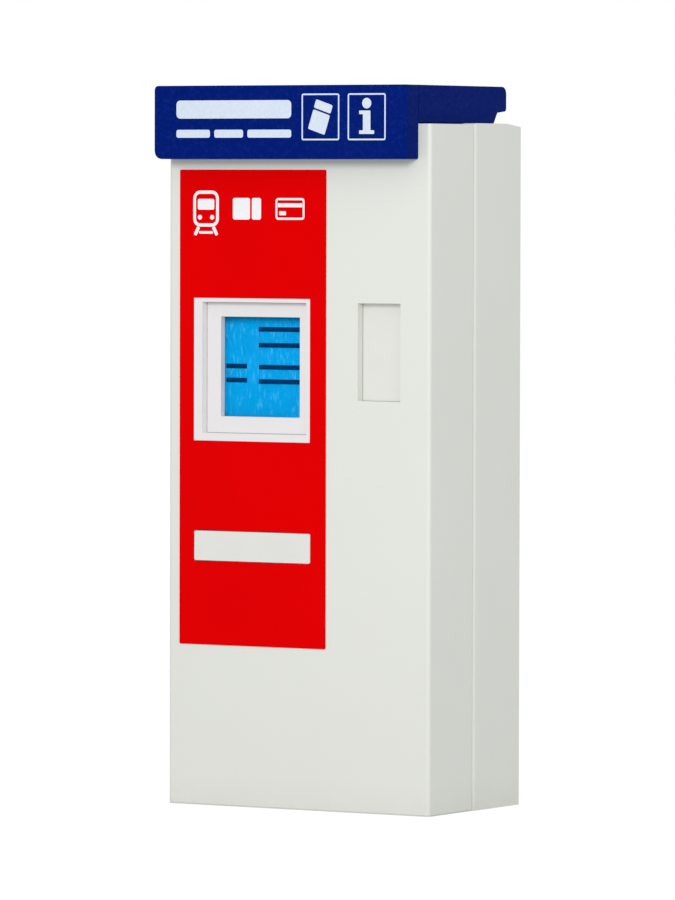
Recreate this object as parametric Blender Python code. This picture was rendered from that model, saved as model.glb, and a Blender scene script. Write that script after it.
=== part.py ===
"""Self-service ticket machine: a floor-standing steel cabinet with a deep front door.

The rear half is a fixed cabinet. It stands on the base frame and carries the roof canopy, the ticket
printer and the electronics. The front half is a door on three lift-off hinges. It carries the sign, the
red fascia with the touch screen, the payment recess, the ticket tray with its flap, and a lock with two
bolts driven by a pinion.

Frame: metres, +Z up, -Y towards the user, origin on the floor under the middle of the body.
"""

import math
from typing import NamedTuple

import bmesh
import bpy
from mathutils import Matrix, Vector

# Driving dimensions of the body
BODY_WIDTH = 0.846
BODY_DEPTH = 0.492
BODY_HEIGHT = 1.897
TOTAL_HEIGHT = 2.000
DOOR_DEPTH = 0.234
SHEET = 0.003
FIT = 0.0003
SEAM_GAP = 0.006
DOOR_RADIUS = 0.011
SEAM_RADIUS = 0.006
REAR_RADIUS = 0.0025
REAR_SLOPE_RUN = 0.076
REAR_SLOPE_DROP = 0.0085

# Planes that follow from them
LEFT = -BODY_WIDTH / 2
RIGHT = BODY_WIDTH / 2
FRONT = -BODY_DEPTH / 2
BACK = BODY_DEPTH / 2
SEAM = FRONT + DOOR_DEPTH
DOOR_REAR = SEAM - SEAM_GAP / 2
CABINET_FRONT = SEAM + SEAM_GAP / 2
DOOR_INNER = FRONT + SHEET

# Door and cabinet
DOOR_FLOOR_GAP = 0.004
DOOR_ROOF_GAP = 0.003
DOOR_TOP = BODY_HEIGHT - DOOR_ROOF_GAP
DOOR_SHELF_LOW = 0.045
LIP_WIDTH = 0.018
DOOR_LIP = 0.014
CORNER_BAR = 0.006
LIP_BACK = CABINET_FRONT + SHEET
CEILING = BODY_HEIGHT - REAR_SLOPE_DROP - SHEET
BASE_PLATE = 0.006

# Sign and roof
SIGN_OVERHANG_LEFT = 0.008
SIGN_INSET_RIGHT = 0.039
SIGN_LEFT = LEFT - SIGN_OVERHANG_LEFT
SIGN_RIGHT = RIGHT - SIGN_INSET_RIGHT
SIGN_LOW = 1.797
SIGN_DEPTH = 0.063
SIGN_FACE = 0.004

# Front panels and recesses
FASCIA = 0.0015
FLUSH = FRONT - FIT - FASCIA
SCREEN_STEP_DEPTH = 0.025
SCREEN_OPENING_DEPTH = 0.021
PAYMENT_DEPTH = 0.028

# Hinge line of the door, outside the left wall on the seam
HINGE_RADIUS = 0.009
HINGE_X = LEFT - HINGE_RADIUS - 0.0005
HINGE_HEIGHTS = {"lower": 0.300, "middle": 0.950, "upper": 1.600}

# Ticket flap
FLAP_PIN_RADIUS = 0.002
FLAP_AXIS_Y = FRONT + 0.008
FLAP_AXIS_Z = 0.7600

# Lock: a pinion between two toothed bolts
PINION_TEETH = 12
GEAR_MODULE = 0.002
PITCH_RADIUS = PINION_TEETH * GEAR_MODULE / 2
RACK_ADDENDUM = 0.0014
RACK_DEDENDUM = 0.0022
BACKLASH = 0.0006
BOLT_BAR = 0.008
LOCK_X = 0.352
LOCK_Y = -0.060
LOCK_Z = 0.950

# Printer
PRINTER_X = -0.150
ROLL_RADIUS = 0.070
PLATEN_RADIUS = 0.009
PAPER_WIDTH = 0.112
PAPER_THICKNESS = 0.0004
PAPER_Z = 0.9293
ROLL_Y = 0.125
PLATEN_Y = 0.018
SHELF_TOP = 0.873

# Equipment plate that the electronics stand on
PLATE_FRONT = BACK - SHEET - 2 * FIT - SHEET


class Opening(NamedTuple):
    """A rectangle on the front of the machine, in the machine's own X and Z."""

    left: float
    right: float
    low: float
    high: float

    def grown(self, by):
        return Opening(self.left - by, self.right + by, self.low - by, self.high + by)


def on_front(from_left, to, low, high):
    """An opening given by its distances from the body's left side and from the floor."""
    return Opening(LEFT + from_left, LEFT + to, low, high)


RED_PANEL = on_front(0.037, 0.514, 0.448, 1.768)
SCREEN_BORDER = on_front(0.084, 0.462, 1.016, 1.412)
SCREEN_STEP = on_front(0.111, 0.450, 1.037, 1.401)
SCREEN_OPENING = on_front(0.157, 0.414, 1.0835, 1.3605)
TICKET_SLOT = on_front(0.085, 0.465, 0.681, 0.7665)
PAYMENT_RECESS = on_front(0.615, 0.751, 1.134, 1.402)
SIGN = Opening(SIGN_LEFT, SIGN_RIGHT, SIGN_LOW, TOTAL_HEIGHT)

# Corner radii, in the order lower left, lower right, upper right, upper left
SIGN_CORNERS = (0.022, 0.004, 0.004, 0.011)
SLOT_CORNERS = (0.005,) * 4
FASCIA_CORNERS = (0.004,) * 4
SQUARE_CORNERS = (0.0,) * 4


# Finishes


def finish(name, colour, roughness, metallic=0.0):
    made = bpy.data.materials.new(name)
    made.use_nodes = True
    shader = made.node_tree.nodes["Principled BSDF"]
    shader.inputs["Base Color"].default_value = (*colour, 1.0)
    shader.inputs["Roughness"].default_value = roughness
    shader.inputs["Metallic"].default_value = metallic
    return made


# Modelling helpers


def add_object(name, bm, material):
    bmesh.ops.recalc_face_normals(bm, faces=bm.faces)
    mesh = bpy.data.meshes.new(name)
    bm.to_mesh(mesh)
    bm.free()
    obj = bpy.data.objects.new(name, mesh)
    if material:
        mesh.materials.append(material)
    bpy.context.scene.collection.objects.link(obj)
    return obj


def set_origin(obj, point):
    """Moves the object's origin to a point and leaves its shape where it is."""
    shift = Vector(point) - obj.location
    obj.data.transform(Matrix.Translation(-shift))
    obj.location = point
    return obj


def block(name, x, y, z, material=None):
    """A rectangular block between two values on each axis."""
    spans = (x, y, z)
    size = [high - low for low, high in spans]
    bm = bmesh.new()
    bmesh.ops.create_cube(bm, size=1.0)
    bmesh.ops.scale(bm, vec=size, verts=bm.verts)
    obj = add_object(name, bm, material)
    obj.location = [(low + high) / 2 for low, high in spans]
    return obj


def prism(name, outline, axis, span, material=None):
    """An outline pushed along an axis. Its points are (y, z), (x, z) or (x, y) for axis 0, 1 or 2."""
    others = [i for i in range(3) if i != axis]
    bm = bmesh.new()
    ring = []
    for point in outline:
        place = [0.0, 0.0, 0.0]
        place[axis] = span[0]
        place[others[0]], place[others[1]] = point
        ring.append(bm.verts.new(place))
    face = bm.faces.new(ring)
    pushed = bmesh.ops.extrude_face_region(bm, geom=[face])["geom"]
    along = [0.0, 0.0, 0.0]
    along[axis] = span[1] - span[0]
    moved = [g for g in pushed if isinstance(g, bmesh.types.BMVert)]
    bmesh.ops.translate(bm, vec=along, verts=moved)
    return add_object(name, bm, material)


def cylinder(name, axis, centre, radius, span, material=None, sides=24):
    """A round bar along an axis. Its centre gives the other two coordinates, in X, Y, Z order."""
    length = span[1] - span[0]
    bm = bmesh.new()
    bmesh.ops.create_cone(
        bm, cap_ends=True, segments=sides, radius1=radius, radius2=radius, depth=length
    )
    if axis != 2:
        turn = Matrix.Rotation(math.pi / 2, 3, "Y" if axis == 0 else "X")
        bmesh.ops.rotate(bm, cent=(0, 0, 0), matrix=turn, verts=bm.verts)
    obj = add_object(name, bm, material)
    place = list(centre)
    place.insert(axis, (span[0] + span[1]) / 2)
    obj.location = place
    obj.data.shade_smooth()
    obj.data.set_sharp_from_angle(angle=math.radians(40))
    return obj


def round_edges(obj, chosen, radius, segments=3):
    """Rounds the edges for which chosen(start, end) is true, in the object's own coordinates."""
    bm = bmesh.new()
    bm.from_mesh(obj.data)
    edges = [e for e in bm.edges if chosen(e.verts[0].co, e.verts[1].co)]
    bmesh.ops.bevel(
        bm,
        geom=edges,
        offset=radius,
        segments=segments,
        profile=0.5,
        affect="EDGES",
        material=-1,
    )
    bm.to_mesh(obj.data)
    bm.free()


def boolean(obj, tool, operation):
    modifier = obj.modifiers.new(tool.name, "BOOLEAN")
    modifier.operation = operation
    modifier.object = tool
    tool.hide_render = True
    tool.display_type = "WIRE"
    bpy.context.view_layer.update()
    tool.parent = obj
    tool.matrix_parent_inverse = obj.matrix_world.inverted()


def cut(obj, *tools):
    for tool in tools:
        boolean(obj, tool, "DIFFERENCE")
    return obj


def join(obj, *tools):
    for tool in tools:
        boolean(obj, tool, "UNION")
    return obj


def arc(centre, radius, start, end, steps):
    """Points along an arc between two angles in degrees, ends included."""
    angles = [math.radians(start + (end - start) * i / steps) for i in range(steps + 1)]
    return [
        (centre[0] + radius * math.cos(a), centre[1] + radius * math.sin(a))
        for a in angles
    ]


def rounded(opening, radii, steps=3):
    """The outline of an opening with a radius at each corner."""
    corners = (
        (opening.left, opening.low, 1, 1, 180),
        (opening.right, opening.low, -1, 1, 270),
        (opening.right, opening.high, -1, -1, 0),
        (opening.left, opening.high, 1, -1, 90),
    )
    points = []
    for (x, z, to_x, to_z, start), radius in zip(corners, radii):
        if radius:
            centre = (x + to_x * radius, z + to_z * radius)
            points += arc(centre, radius, start, start + 90, steps)
        else:
            points.append((x, z))
    return points


def inset_outline(points, distance):
    """The outline moved inwards by a distance, for an outline that runs anticlockwise."""
    moved = []
    for i, point in enumerate(points):
        before, after = Vector(points[i - 1]), Vector(points[(i + 1) % len(points)])
        here = Vector(point)
        first = (here - before).normalized()
        second = (after - here).normalized()
        inward_a, inward_b = Vector((-first.y, first.x)), Vector((-second.y, second.x))
        middle = (inward_a + inward_b).normalized()
        moved.append(tuple(here + middle * distance / middle.dot(inward_a)))
    return moved


def sheet_over(name, opening, y, material=None, radii=SQUARE_CORNERS):
    """A flat piece that fills an opening between two depths."""
    return prism(name, rounded(opening, radii), 1, y, material)


def joint_axis(name, location, parent=None):
    """An empty on a joint's axis, which the moving pieces are parented to."""
    empty = bpy.data.objects.new(name, None)
    bpy.context.scene.collection.objects.link(empty)
    empty.location = location
    if parent:
        carry(parent, empty)
    return empty


def carry(axis, *pieces):
    """Parents pieces to a joint's axis without moving them."""
    bpy.context.view_layer.update()
    for piece in pieces:
        piece.parent = axis
        piece.matrix_parent_inverse = axis.matrix_world.inverted()


# The fixed cabinet


def build_base(steel):
    """The base frame: a plate over the whole footprint with upstands that the cabinet is bolted to."""
    side = SHEET + FIT
    tongue_left, tongue_right = LEFT + 0.025, RIGHT - 0.035
    tongue_front = FRONT + 0.016
    tongue_back = LIP_BACK + FIT
    corner = REAR_RADIUS
    upstand, upstand_inset = 0.050, 0.0005
    anchor_radius, anchor_x, anchor_rows = 0.009, 0.320, (-0.180, 0.060, 0.190)
    outline = [
        (tongue_left, tongue_front),
        (tongue_right, tongue_front),
        (tongue_right, tongue_back),
        (RIGHT - side, tongue_back),
        *arc((RIGHT - side - corner, BACK - side - corner), corner, 0, 90, 3),
        *arc((LEFT + side + corner, BACK - side - corner), corner, 90, 180, 3),
        (LEFT + side, tongue_back),
        (tongue_left, tongue_back),
    ]
    base = prism("base_frame", outline, 2, (0.0, BASE_PLATE), steel)
    rise = (BASE_PLATE / 2, upstand)
    walls = (tongue_back + upstand_inset, BACK - side - corner)
    for x in (LEFT + side + upstand_inset, RIGHT - side - upstand_inset - SHEET):
        join(base, block(f"base_upstand_{x:.2f}", (x, x + SHEET), walls, rise))
    across = (LEFT + side + corner, RIGHT - side - corner)
    rear = (BACK - side - upstand_inset - SHEET, BACK - side - upstand_inset)
    join(base, block("base_upstand_rear", across, rear, rise))
    through = (-BASE_PLATE, 2 * BASE_PLATE)
    for x in (-anchor_x, anchor_x):
        for y in anchor_rows:
            hole = f"anchor_hole_{x:.2f}_{y:.2f}"
            cut(base, cylinder(hole, 2, (x, y), anchor_radius, through))
    gland_x, gland_y, entry_radius = -0.300, 0.130, 0.014
    cut(base, cylinder("cable_entry", 2, (gland_x, gland_y), entry_radius, through))
    return gland_x, gland_y


def build_gland(place, black):
    """The cable gland that the supply cable comes in through, on top of the base plate."""
    body_radius, nut_radius, bore = 0.019, 0.024, 0.010
    low, nut_top, top = BASE_PLATE + FIT, 0.020, 0.042
    gland = cylinder("cable_gland", 2, place, nut_radius, (low, nut_top), black, 6)
    collar = cylinder("gland_collar", 2, place, body_radius, (nut_top / 2, top))
    join(gland, collar)
    cut(gland, cylinder("gland_bore", 2, place, bore, (0.0, 2 * top)))


def build_cabinet(paint):
    """The rear shell: sides and a sloped top cap with a lip round the open front, and the back panel."""
    top_rear = BACK - REAR_SLOPE_RUN
    profile = [
        (CABINET_FRONT, 0.0),
        (BACK, 0.0),
        (BACK, BODY_HEIGHT - REAR_SLOPE_DROP),
        (top_rear, BODY_HEIGHT),
        (CABINET_FRONT, BODY_HEIGHT),
    ]
    shell = prism("cabinet_shell", profile, 0, (LEFT, RIGHT), paint)

    below = -0.010
    inside = (LEFT + SHEET, RIGHT - SHEET)
    cavity = block("cabinet_cavity", inside, (LIP_BACK, BACK + SHEET), (below, CEILING))

    def upright_or_top(plane):
        def chosen(a, b):
            on_plane = abs(a.y - plane) < FIT and abs(b.y - plane) < FIT
            return on_plane and (abs(a.z - b.z) > 0.1 or (a.z > 1.0 and b.z > 1.0))

        return chosen

    round_edges(shell, upright_or_top(BACK), REAR_RADIUS)
    round_edges(shell, upright_or_top(CABINET_FRONT), SEAM_RADIUS)

    mouth_width = (inside[0] + LIP_WIDTH, inside[1] - LIP_WIDTH)
    mouth_top = BODY_HEIGHT - SHEET - LIP_WIDTH
    mouth_depth = (SEAM - LIP_WIDTH, LIP_BACK + SHEET)
    mouth = block("cabinet_mouth", mouth_width, mouth_depth, (below, mouth_top))
    cut(shell, cavity, mouth)
    panel_width = (inside[0] + FIT, inside[1] - FIT)
    block("cabinet_back", panel_width, (BACK - SHEET, BACK), (0.0, CEILING - FIT), paint)


def build_gasket(rubber):
    """The rubber seal in the seam, a flat ring between the cabinet's lip and the door's edge."""
    recess, width, low = 0.0075, 0.008, 0.060
    outer = Opening(LEFT + recess, RIGHT - recess, low, DOOR_TOP - recess)
    depth = (DOOR_REAR + FIT, CABINET_FRONT - FIT)
    ring = sheet_over("door_gasket", outer, depth, rubber)
    opening = sheet_over(
        "gasket_opening", outer.grown(-width), (SEAM - width, SEAM + width)
    )
    cut(ring, opening)


def build_roof(blue):
    """The roof canopy: a hollow blue cap over cabinet and door, with a stepped drip edge at the back."""
    low = BODY_HEIGHT + FIT
    front = FRONT + 0.003
    wall = 0.004
    rear = BACK - 0.013
    corner = 0.020
    step_start, step_end = rear - 0.069, rear - 0.049
    lip_root, lip_edge, lip_corner = low + 0.030, low + 0.034, 0.008
    outline = [(front, low), (step_start, low), (step_end, lip_root)]
    outline += arc((rear - lip_corner, lip_edge + lip_corner), lip_corner, -80, 0, 3)
    outline += arc((rear - corner, TOTAL_HEIGHT - corner), corner, 0, 90, 4)
    outline.append((front, TOTAL_HEIGHT))
    roof = prism("roof_canopy", outline, 0, (SIGN_LEFT, SIGN_RIGHT), blue)
    hollow = (SIGN_LEFT + wall, SIGN_RIGHT - wall)
    flange = 0.060
    vent_x = (SIGN_LEFT + flange, SIGN_RIGHT - flange)
    vent_y = (front + flange, step_start - flange / 2)
    cut(
        roof,
        prism("roof_hollow", inset_outline(outline, wall), 0, hollow),
        block("roof_underside_opening", vent_x, vent_y, (low - wall, low + 2 * wall)),
    )


def build_hinges(steel, brass):
    """Three lift-off hinges. The cabinet half holds the pin and the door half turns on it."""
    barrel, washer, pin_radius, running = 0.040, 0.0015, 0.005, 0.0003
    leaf_inner, leaf_outer = LEFT - FIT, LEFT - FIT - SHEET
    leaf_length = 0.042
    door_halves = []
    for place, low in HINGE_HEIGHTS.items():
        centre = (HINGE_X, SEAM)
        top = low + barrel
        half = cylinder(
            f"hinge_pin_half_{place}", 2, centre, HINGE_RADIUS, (low, top), steel
        )
        pin_span = (low + barrel / 2, top + washer + barrel)
        pin = cylinder(f"hinge_pin_{place}", 2, centre, pin_radius, pin_span)
        leaf_y = (CABINET_FRONT, CABINET_FRONT + leaf_length)
        leaf = block(
            f"cabinet_leaf_{place}", (leaf_outer, leaf_inner), leaf_y, (low, top)
        )
        join(half, pin, leaf)

        ring_span = (top + FIT, top + washer)
        ring = cylinder(
            f"hinge_washer_{place}", 2, centre, HINGE_RADIUS, ring_span, brass
        )
        bore_radius = pin_radius + running
        cut(
            ring,
            cylinder(f"washer_bore_{place}", 2, centre, bore_radius, (low, top + barrel)),
        )

        door_low = top + washer + FIT
        door_span = (door_low, door_low + barrel)
        turning = cylinder(
            f"hinge_door_half_{place}", 2, centre, HINGE_RADIUS, door_span, steel
        )
        leaf_y = (DOOR_REAR - leaf_length, DOOR_REAR)
        leaf = block(f"door_leaf_{place}", (leaf_outer, leaf_inner), leaf_y, door_span)
        join(turning, leaf)
        bore_span = (top, door_low + 2 * barrel)
        cut(turning, cylinder(f"hinge_bore_{place}", 2, centre, bore_radius, bore_span))
        door_halves.append(turning)
    return door_halves


# The door and what is fixed to it


def build_door_shell(paint, sign_bolts, bolt_x):
    """The door's folded skin: front, sides, top and rear lip, with a shelf near the floor and cut-outs."""
    shell = block(
        "door_shell",
        (LEFT, RIGHT),
        (FRONT, DOOR_REAR),
        (DOOR_FLOOR_GAP, DOOR_TOP),
        paint,
    )

    def at_front(a, b):
        return a.y < 0 and b.y < 0 and abs(a.z - b.z) > 0.1

    inside = (LEFT + SHEET, RIGHT - SHEET)
    shelf_top, inner_top = DOOR_SHELF_LOW + SHEET, DOOR_TOP - SHEET
    round_edges(shell, at_front, DOOR_RADIUS)

    def hollow(name, rear, heights):
        """A space behind the front that leaves a bar in each corner, behind the rounded edge."""
        back_part = block(f"{name}_back", inside, (DOOR_INNER + CORNER_BAR, rear), heights)
        front_width = (inside[0] + CORNER_BAR, inside[1] - CORNER_BAR)
        return back_part, block(f"{name}_front", front_width, (DOOR_INNER, rear), heights)

    mouth_width = (inside[0] + DOOR_LIP, inside[1] - DOOR_LIP)
    mouth_depth = (DOOR_REAR - 2 * SHEET, SEAM)
    mouth = block("door_mouth", mouth_width, mouth_depth, (shelf_top, inner_top - DOOR_LIP))
    through = (FRONT - 2 * SHEET, FRONT + 2 * SHEET)
    surround_gap = 0.003
    cut(
        shell,
        *hollow("door_cavity", DOOR_REAR - SHEET, (shelf_top, inner_top)),
        *hollow("door_skirt", SEAM, (-DOOR_FLOOR_GAP, DOOR_SHELF_LOW)),
        mouth,
        sheet_over("screen_cutout", SCREEN_STEP.grown(surround_gap), through),
        sheet_over("payment_cutout", PAYMENT_RECESS, through),
        sheet_over("ticket_cutout", TICKET_SLOT, through, radii=SLOT_CORNERS),
    )
    for i, (x, z) in enumerate(sign_bolts):
        cut(shell, cylinder(f"sign_bolt_hole_{i}", 1, (x, z), 0.0045, through))
    half = BOLT_BAR / 2 + 0.002
    shelf_span = (DOOR_SHELF_LOW - SHEET, shelf_top + SHEET)
    slot_y = (LOCK_Y - half, LOCK_Y + half)
    cut(shell, block("bolt_slot", (bolt_x - half, bolt_x + half), slot_y, shelf_span))
    return shell


def build_fascia(red):
    """The red panel on the door's front, with openings for the screen surround and the ticket flap."""
    depth = (FLUSH, FRONT - FIT)
    panel = sheet_over("red_fascia", RED_PANEL, depth, red, FASCIA_CORNERS)
    through = (FLUSH - SHEET, FRONT + SHEET)
    edge_gap = 0.0005
    cut(
        panel,
        sheet_over("fascia_screen", SCREEN_BORDER.grown(edge_gap), through),
        sheet_over("fascia_slot", TICKET_SLOT, through, radii=SLOT_CORNERS),
    )
    return panel


def build_sign(blue, white, steel, sign_bolts):
    """The sign: a box bolted to the door, a light panel against its back and a face over both."""
    wall = 0.002
    back = FRONT - FIT
    face_front = back - SIGN_DEPTH
    face_back = face_front + SIGN_FACE
    box_front = face_back + FIT
    box = sheet_over("sign_box", SIGN, (box_front, back), blue, SIGN_CORNERS)
    cavity_corners = [max(r - wall, 0.0) for r in SIGN_CORNERS]
    cavity_depth = (face_front, back - wall)
    cut(box, sheet_over("sign_cavity", SIGN.grown(-wall), cavity_depth, radii=cavity_corners))
    light_gap, light_thickness = 0.014, 0.010
    light_back = back - wall - FIT
    light_depth = (light_back - light_thickness, light_back)
    light = sheet_over("sign_light", SIGN.grown(-light_gap), light_depth, white)
    face_depth = (face_front, face_back)
    face = sheet_over("sign_face", SIGN, face_depth, blue, SIGN_CORNERS)
    pieces = [box, light, face]
    shaft, head, hole = 0.004, 0.007, 0.0045
    for i, (x, z) in enumerate(sign_bolts):
        cut(box, cylinder(f"sign_box_hole_{i}", 1, (x, z), hole, (back - 2 * wall, back + wall)))
        light_hole = (light_depth[0] - wall, light_back + wall)
        cut(light, cylinder(f"sign_light_hole_{i}", 1, (x, z), head, light_hole))
        span = (back - wall - wall, DOOR_INNER + 0.006)
        bolt = cylinder(f"sign_bolt_{i + 1}", 1, (x, z), shaft, span, steel, 12)
        nut_span = (DOOR_INNER + FIT, DOOR_INNER + 0.005)
        join(bolt, cylinder(f"sign_nut_{i}", 1, (x, z), head, nut_span, sides=6))
        pieces.append(bolt)
    return pieces


def build_screen(white, glass, screen_blue, steel):
    """The screen: a surround in the door, a mask behind it, the touch glass, the panel and a housing."""
    wall = 0.0025
    step_floor = FLUSH + SCREEN_STEP_DEPTH
    glass_front = step_floor + SCREEN_OPENING_DEPTH
    mask_plate = 0.003

    surround = sheet_over("screen_surround", SCREEN_BORDER, (FLUSH, FRONT - FIT), white)
    sleeve_depth = (FLUSH + FASCIA / 2, step_floor - FIT)
    sleeve = sheet_over("surround_sleeve", SCREEN_STEP.grown(wall), sleeve_depth)
    through = (FLUSH - wall, glass_front + wall)
    join(surround, sleeve)
    cut(surround, sheet_over("surround_opening", SCREEN_STEP, through))

    mask_depth = (step_floor, step_floor + mask_plate)
    mask = sheet_over("screen_mask", SCREEN_STEP.grown(wall), mask_depth, white)
    collar_depth = (step_floor + mask_plate / 2, glass_front - FIT)
    join(mask, sheet_over("mask_collar", SCREEN_OPENING.grown(wall), collar_depth))
    cut(mask, sheet_over("mask_opening", SCREEN_OPENING, through))

    glass_thickness, panel_thickness = 0.004, 0.022
    glass_depth = (glass_front, glass_front + glass_thickness)
    pane = sheet_over("touch_glass", SCREEN_OPENING.grown(0.012), glass_depth, glass)
    panel_front = glass_depth[1] + FIT
    panel_depth = (panel_front, panel_front + panel_thickness)
    panel = sheet_over("display_panel", SCREEN_OPENING.grown(0.016), panel_depth, screen_blue)

    cover, margin = 0.0015, 0.025
    cover_front, cover_back = DOOR_INNER + FIT, panel_depth[1] + FIT + cover
    housing = sheet_over(
        "display_housing", SCREEN_STEP.grown(margin), (cover_front, cover_back), steel
    )
    inner_depth = (FRONT, cover_back - cover)
    cut(housing, sheet_over("housing_cavity", SCREEN_STEP.grown(margin - cover), inner_depth))
    return [surround, mask, pane, panel, housing]


def build_payment(paint, white, black):
    """The payment recess: a sleeve behind the cut-out, a plain reader cover and the reader behind it."""
    slack, wall, flange, flange_sheet = 0.0005, 0.0025, 0.015, 0.0015
    floor = FRONT + PAYMENT_DEPTH
    cover_thickness, reader_depth, reader_inset = 0.004, 0.050, 0.008
    front = DOOR_INNER + FIT
    sleeve = sheet_over(
        "payment_sleeve", PAYMENT_RECESS.grown(wall), (front, floor - FIT), paint
    )
    flange_span = (front, front + flange_sheet)
    join(sleeve, sheet_over("sleeve_flange", PAYMENT_RECESS.grown(flange), flange_span))
    cut(sleeve, sheet_over("sleeve_bore", PAYMENT_RECESS.grown(slack), (FRONT, floor + wall)))
    cover_depth = (floor, floor + cover_thickness)
    cover = sheet_over("reader_cover", PAYMENT_RECESS.grown(wall), cover_depth, white)
    reader_front = cover_depth[1] + FIT
    reader = sheet_over(
        "card_reader",
        PAYMENT_RECESS.grown(-reader_inset),
        (reader_front, reader_front + reader_depth),
        black,
    )
    return [sleeve, cover, reader]


def build_tray(white, steel):
    """The ticket tray behind the slot, its flap and pin, and the chute that feeds it."""
    side_room, wall, floor, back = 0.004, 0.0015, 0.678, -0.110
    chute_low, chute_high = Vector((-0.128, 0.806)), Vector((-0.020, 0.924))
    chute_width, chute_sheet, chute_wall = 0.130, 0.0015, 0.018
    run = chute_high - chute_low
    slope = math.atan2(run.y, run.x)
    front = DOOR_INNER + FIT
    inner = (TICKET_SLOT.left - side_room, TICKET_SLOT.right + side_room)
    outer = (inner[0] - wall, inner[1] + wall)
    rear_top = chute_low.y + (back - wall - chute_low.x) * math.tan(slope) - 2 * FIT
    tray = block("ticket_tray", outer, (front, back), (floor - wall, rear_top), steel)
    inside = (front - wall, back - wall)
    cut(tray, block("tray_inside", inner, inside, (floor, rear_top + wall)))
    hole_span = (outer[0] - wall, outer[1] + wall)
    cut(tray, cylinder("tray_pin_holes", 0, (FLAP_AXIS_Y, FLAP_AXIS_Z), 0.0023, hole_span))

    pin_end = 0.003
    pin = cylinder(
        "flap_pin",
        0,
        (FLAP_AXIS_Y, FLAP_AXIS_Z),
        FLAP_PIN_RADIUS,
        (outer[0] - pin_end, outer[1] + pin_end),
        steel,
        16,
    )

    edge, plate, barrel_radius, barrel_end, bore = 0.0015, 0.004, 0.0045, 0.006, 0.0023
    plate_back = FLUSH + plate
    flap = sheet_over(
        "ticket_flap", TICKET_SLOT.grown(-edge), (FLUSH, plate_back), white, SLOT_CORNERS
    )
    set_origin(flap, (PRINTER_X, FLAP_AXIS_Y, FLAP_AXIS_Z))
    span = (TICKET_SLOT.left + barrel_end, TICKET_SLOT.right - barrel_end)
    barrel = cylinder("flap_barrel", 0, (FLAP_AXIS_Y, FLAP_AXIS_Z), barrel_radius, span)
    web_z = (FLAP_AXIS_Z - barrel_radius * 0.7, FLAP_AXIS_Z + barrel_radius * 0.7)
    web = block("flap_web", (span[0] + edge, span[1] - edge), (plate_back - edge, FLAP_AXIS_Y), web_z)
    join(flap, barrel, web)
    cut(flap, cylinder("flap_bore", 0, (FLAP_AXIS_Y, FLAP_AXIS_Z), bore, inner, sides=16))

    chute = block(
        "ticket_chute",
        (-chute_width / 2, chute_width / 2),
        (0.0, run.length),
        (0.0, chute_wall),
        steel,
    )
    set_origin(chute, (0, 0, 0))
    channel = chute_width / 2 - chute_sheet
    cut(
        chute,
        block(
            "chute_channel",
            (-channel, channel),
            (-chute_wall, run.length + chute_wall),
            (chute_sheet, 2 * chute_wall),
        ),
    )
    chute.rotation_euler = (slope, 0, 0)
    chute.location = (PRINTER_X, chute_low.x, chute_low.y)
    return tray, pin, flap, chute


def involute(angle):
    return math.tan(angle) - angle


def pinion_outline(addendum, dedendum):
    """A gear with involute flanks and 20 degree pressure angle, with a tooth on the +X side."""
    pressure = math.radians(20)
    base = PITCH_RADIUS * math.cos(pressure)
    tip, root = PITCH_RADIUS + addendum, PITCH_RADIUS - dedendum
    half_pitch = math.pi / (2 * PINION_TEETH) - BACKLASH / (2 * PITCH_RADIUS)
    flank_steps = 4
    flank = [(root, half_pitch + involute(pressure))]
    for i in range(flank_steps + 1):
        radius = base + (tip - base) * i / flank_steps
        at = math.acos(min(1.0, base / radius))
        flank.append((radius, half_pitch + involute(pressure) - involute(at)))
    points = []
    for tooth in range(PINION_TEETH):
        middle = 2 * math.pi * tooth / PINION_TEETH
        rising = [(radius, middle - half) for radius, half in flank]
        falling = [(radius, middle + half) for radius, half in reversed(flank)]
        points += [(r * math.cos(a), r * math.sin(a)) for r, a in rising + falling]
    return points


def bolt_outline(far_end):
    """A toothed bolt left of the pinion: teeth on its right side near z 0, and a bar up to far_end."""
    pitch = math.pi * GEAR_MODULE
    tail, teeth, tip_chamfer = 0.031, 6, 0.002
    slant = math.tan(math.radians(20))
    half = pitch / 4 - BACKLASH / 4
    root, tip = -PITCH_RADIUS - RACK_DEDENDUM, -PITCH_RADIUS + RACK_ADDENDUM
    points = [(root - BOLT_BAR, -tail), (root, -tail)]
    first = -tail + 0.0025 + pitch / 2
    first = math.ceil(first / pitch - 0.5) * pitch + pitch / 2
    for i in range(teeth):
        z = first + i * pitch
        wide, narrow = half + RACK_DEDENDUM * slant, half - RACK_ADDENDUM * slant
        points += [(root, z - wide), (tip, z - narrow), (tip, z + narrow), (root, z + wide)]
    points += [
        (root, far_end - tip_chamfer),
        (root - tip_chamfer, far_end),
        (root - BOLT_BAR + tip_chamfer, far_end),
        (root - BOLT_BAR, far_end - tip_chamfer),
    ]
    return points


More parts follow.
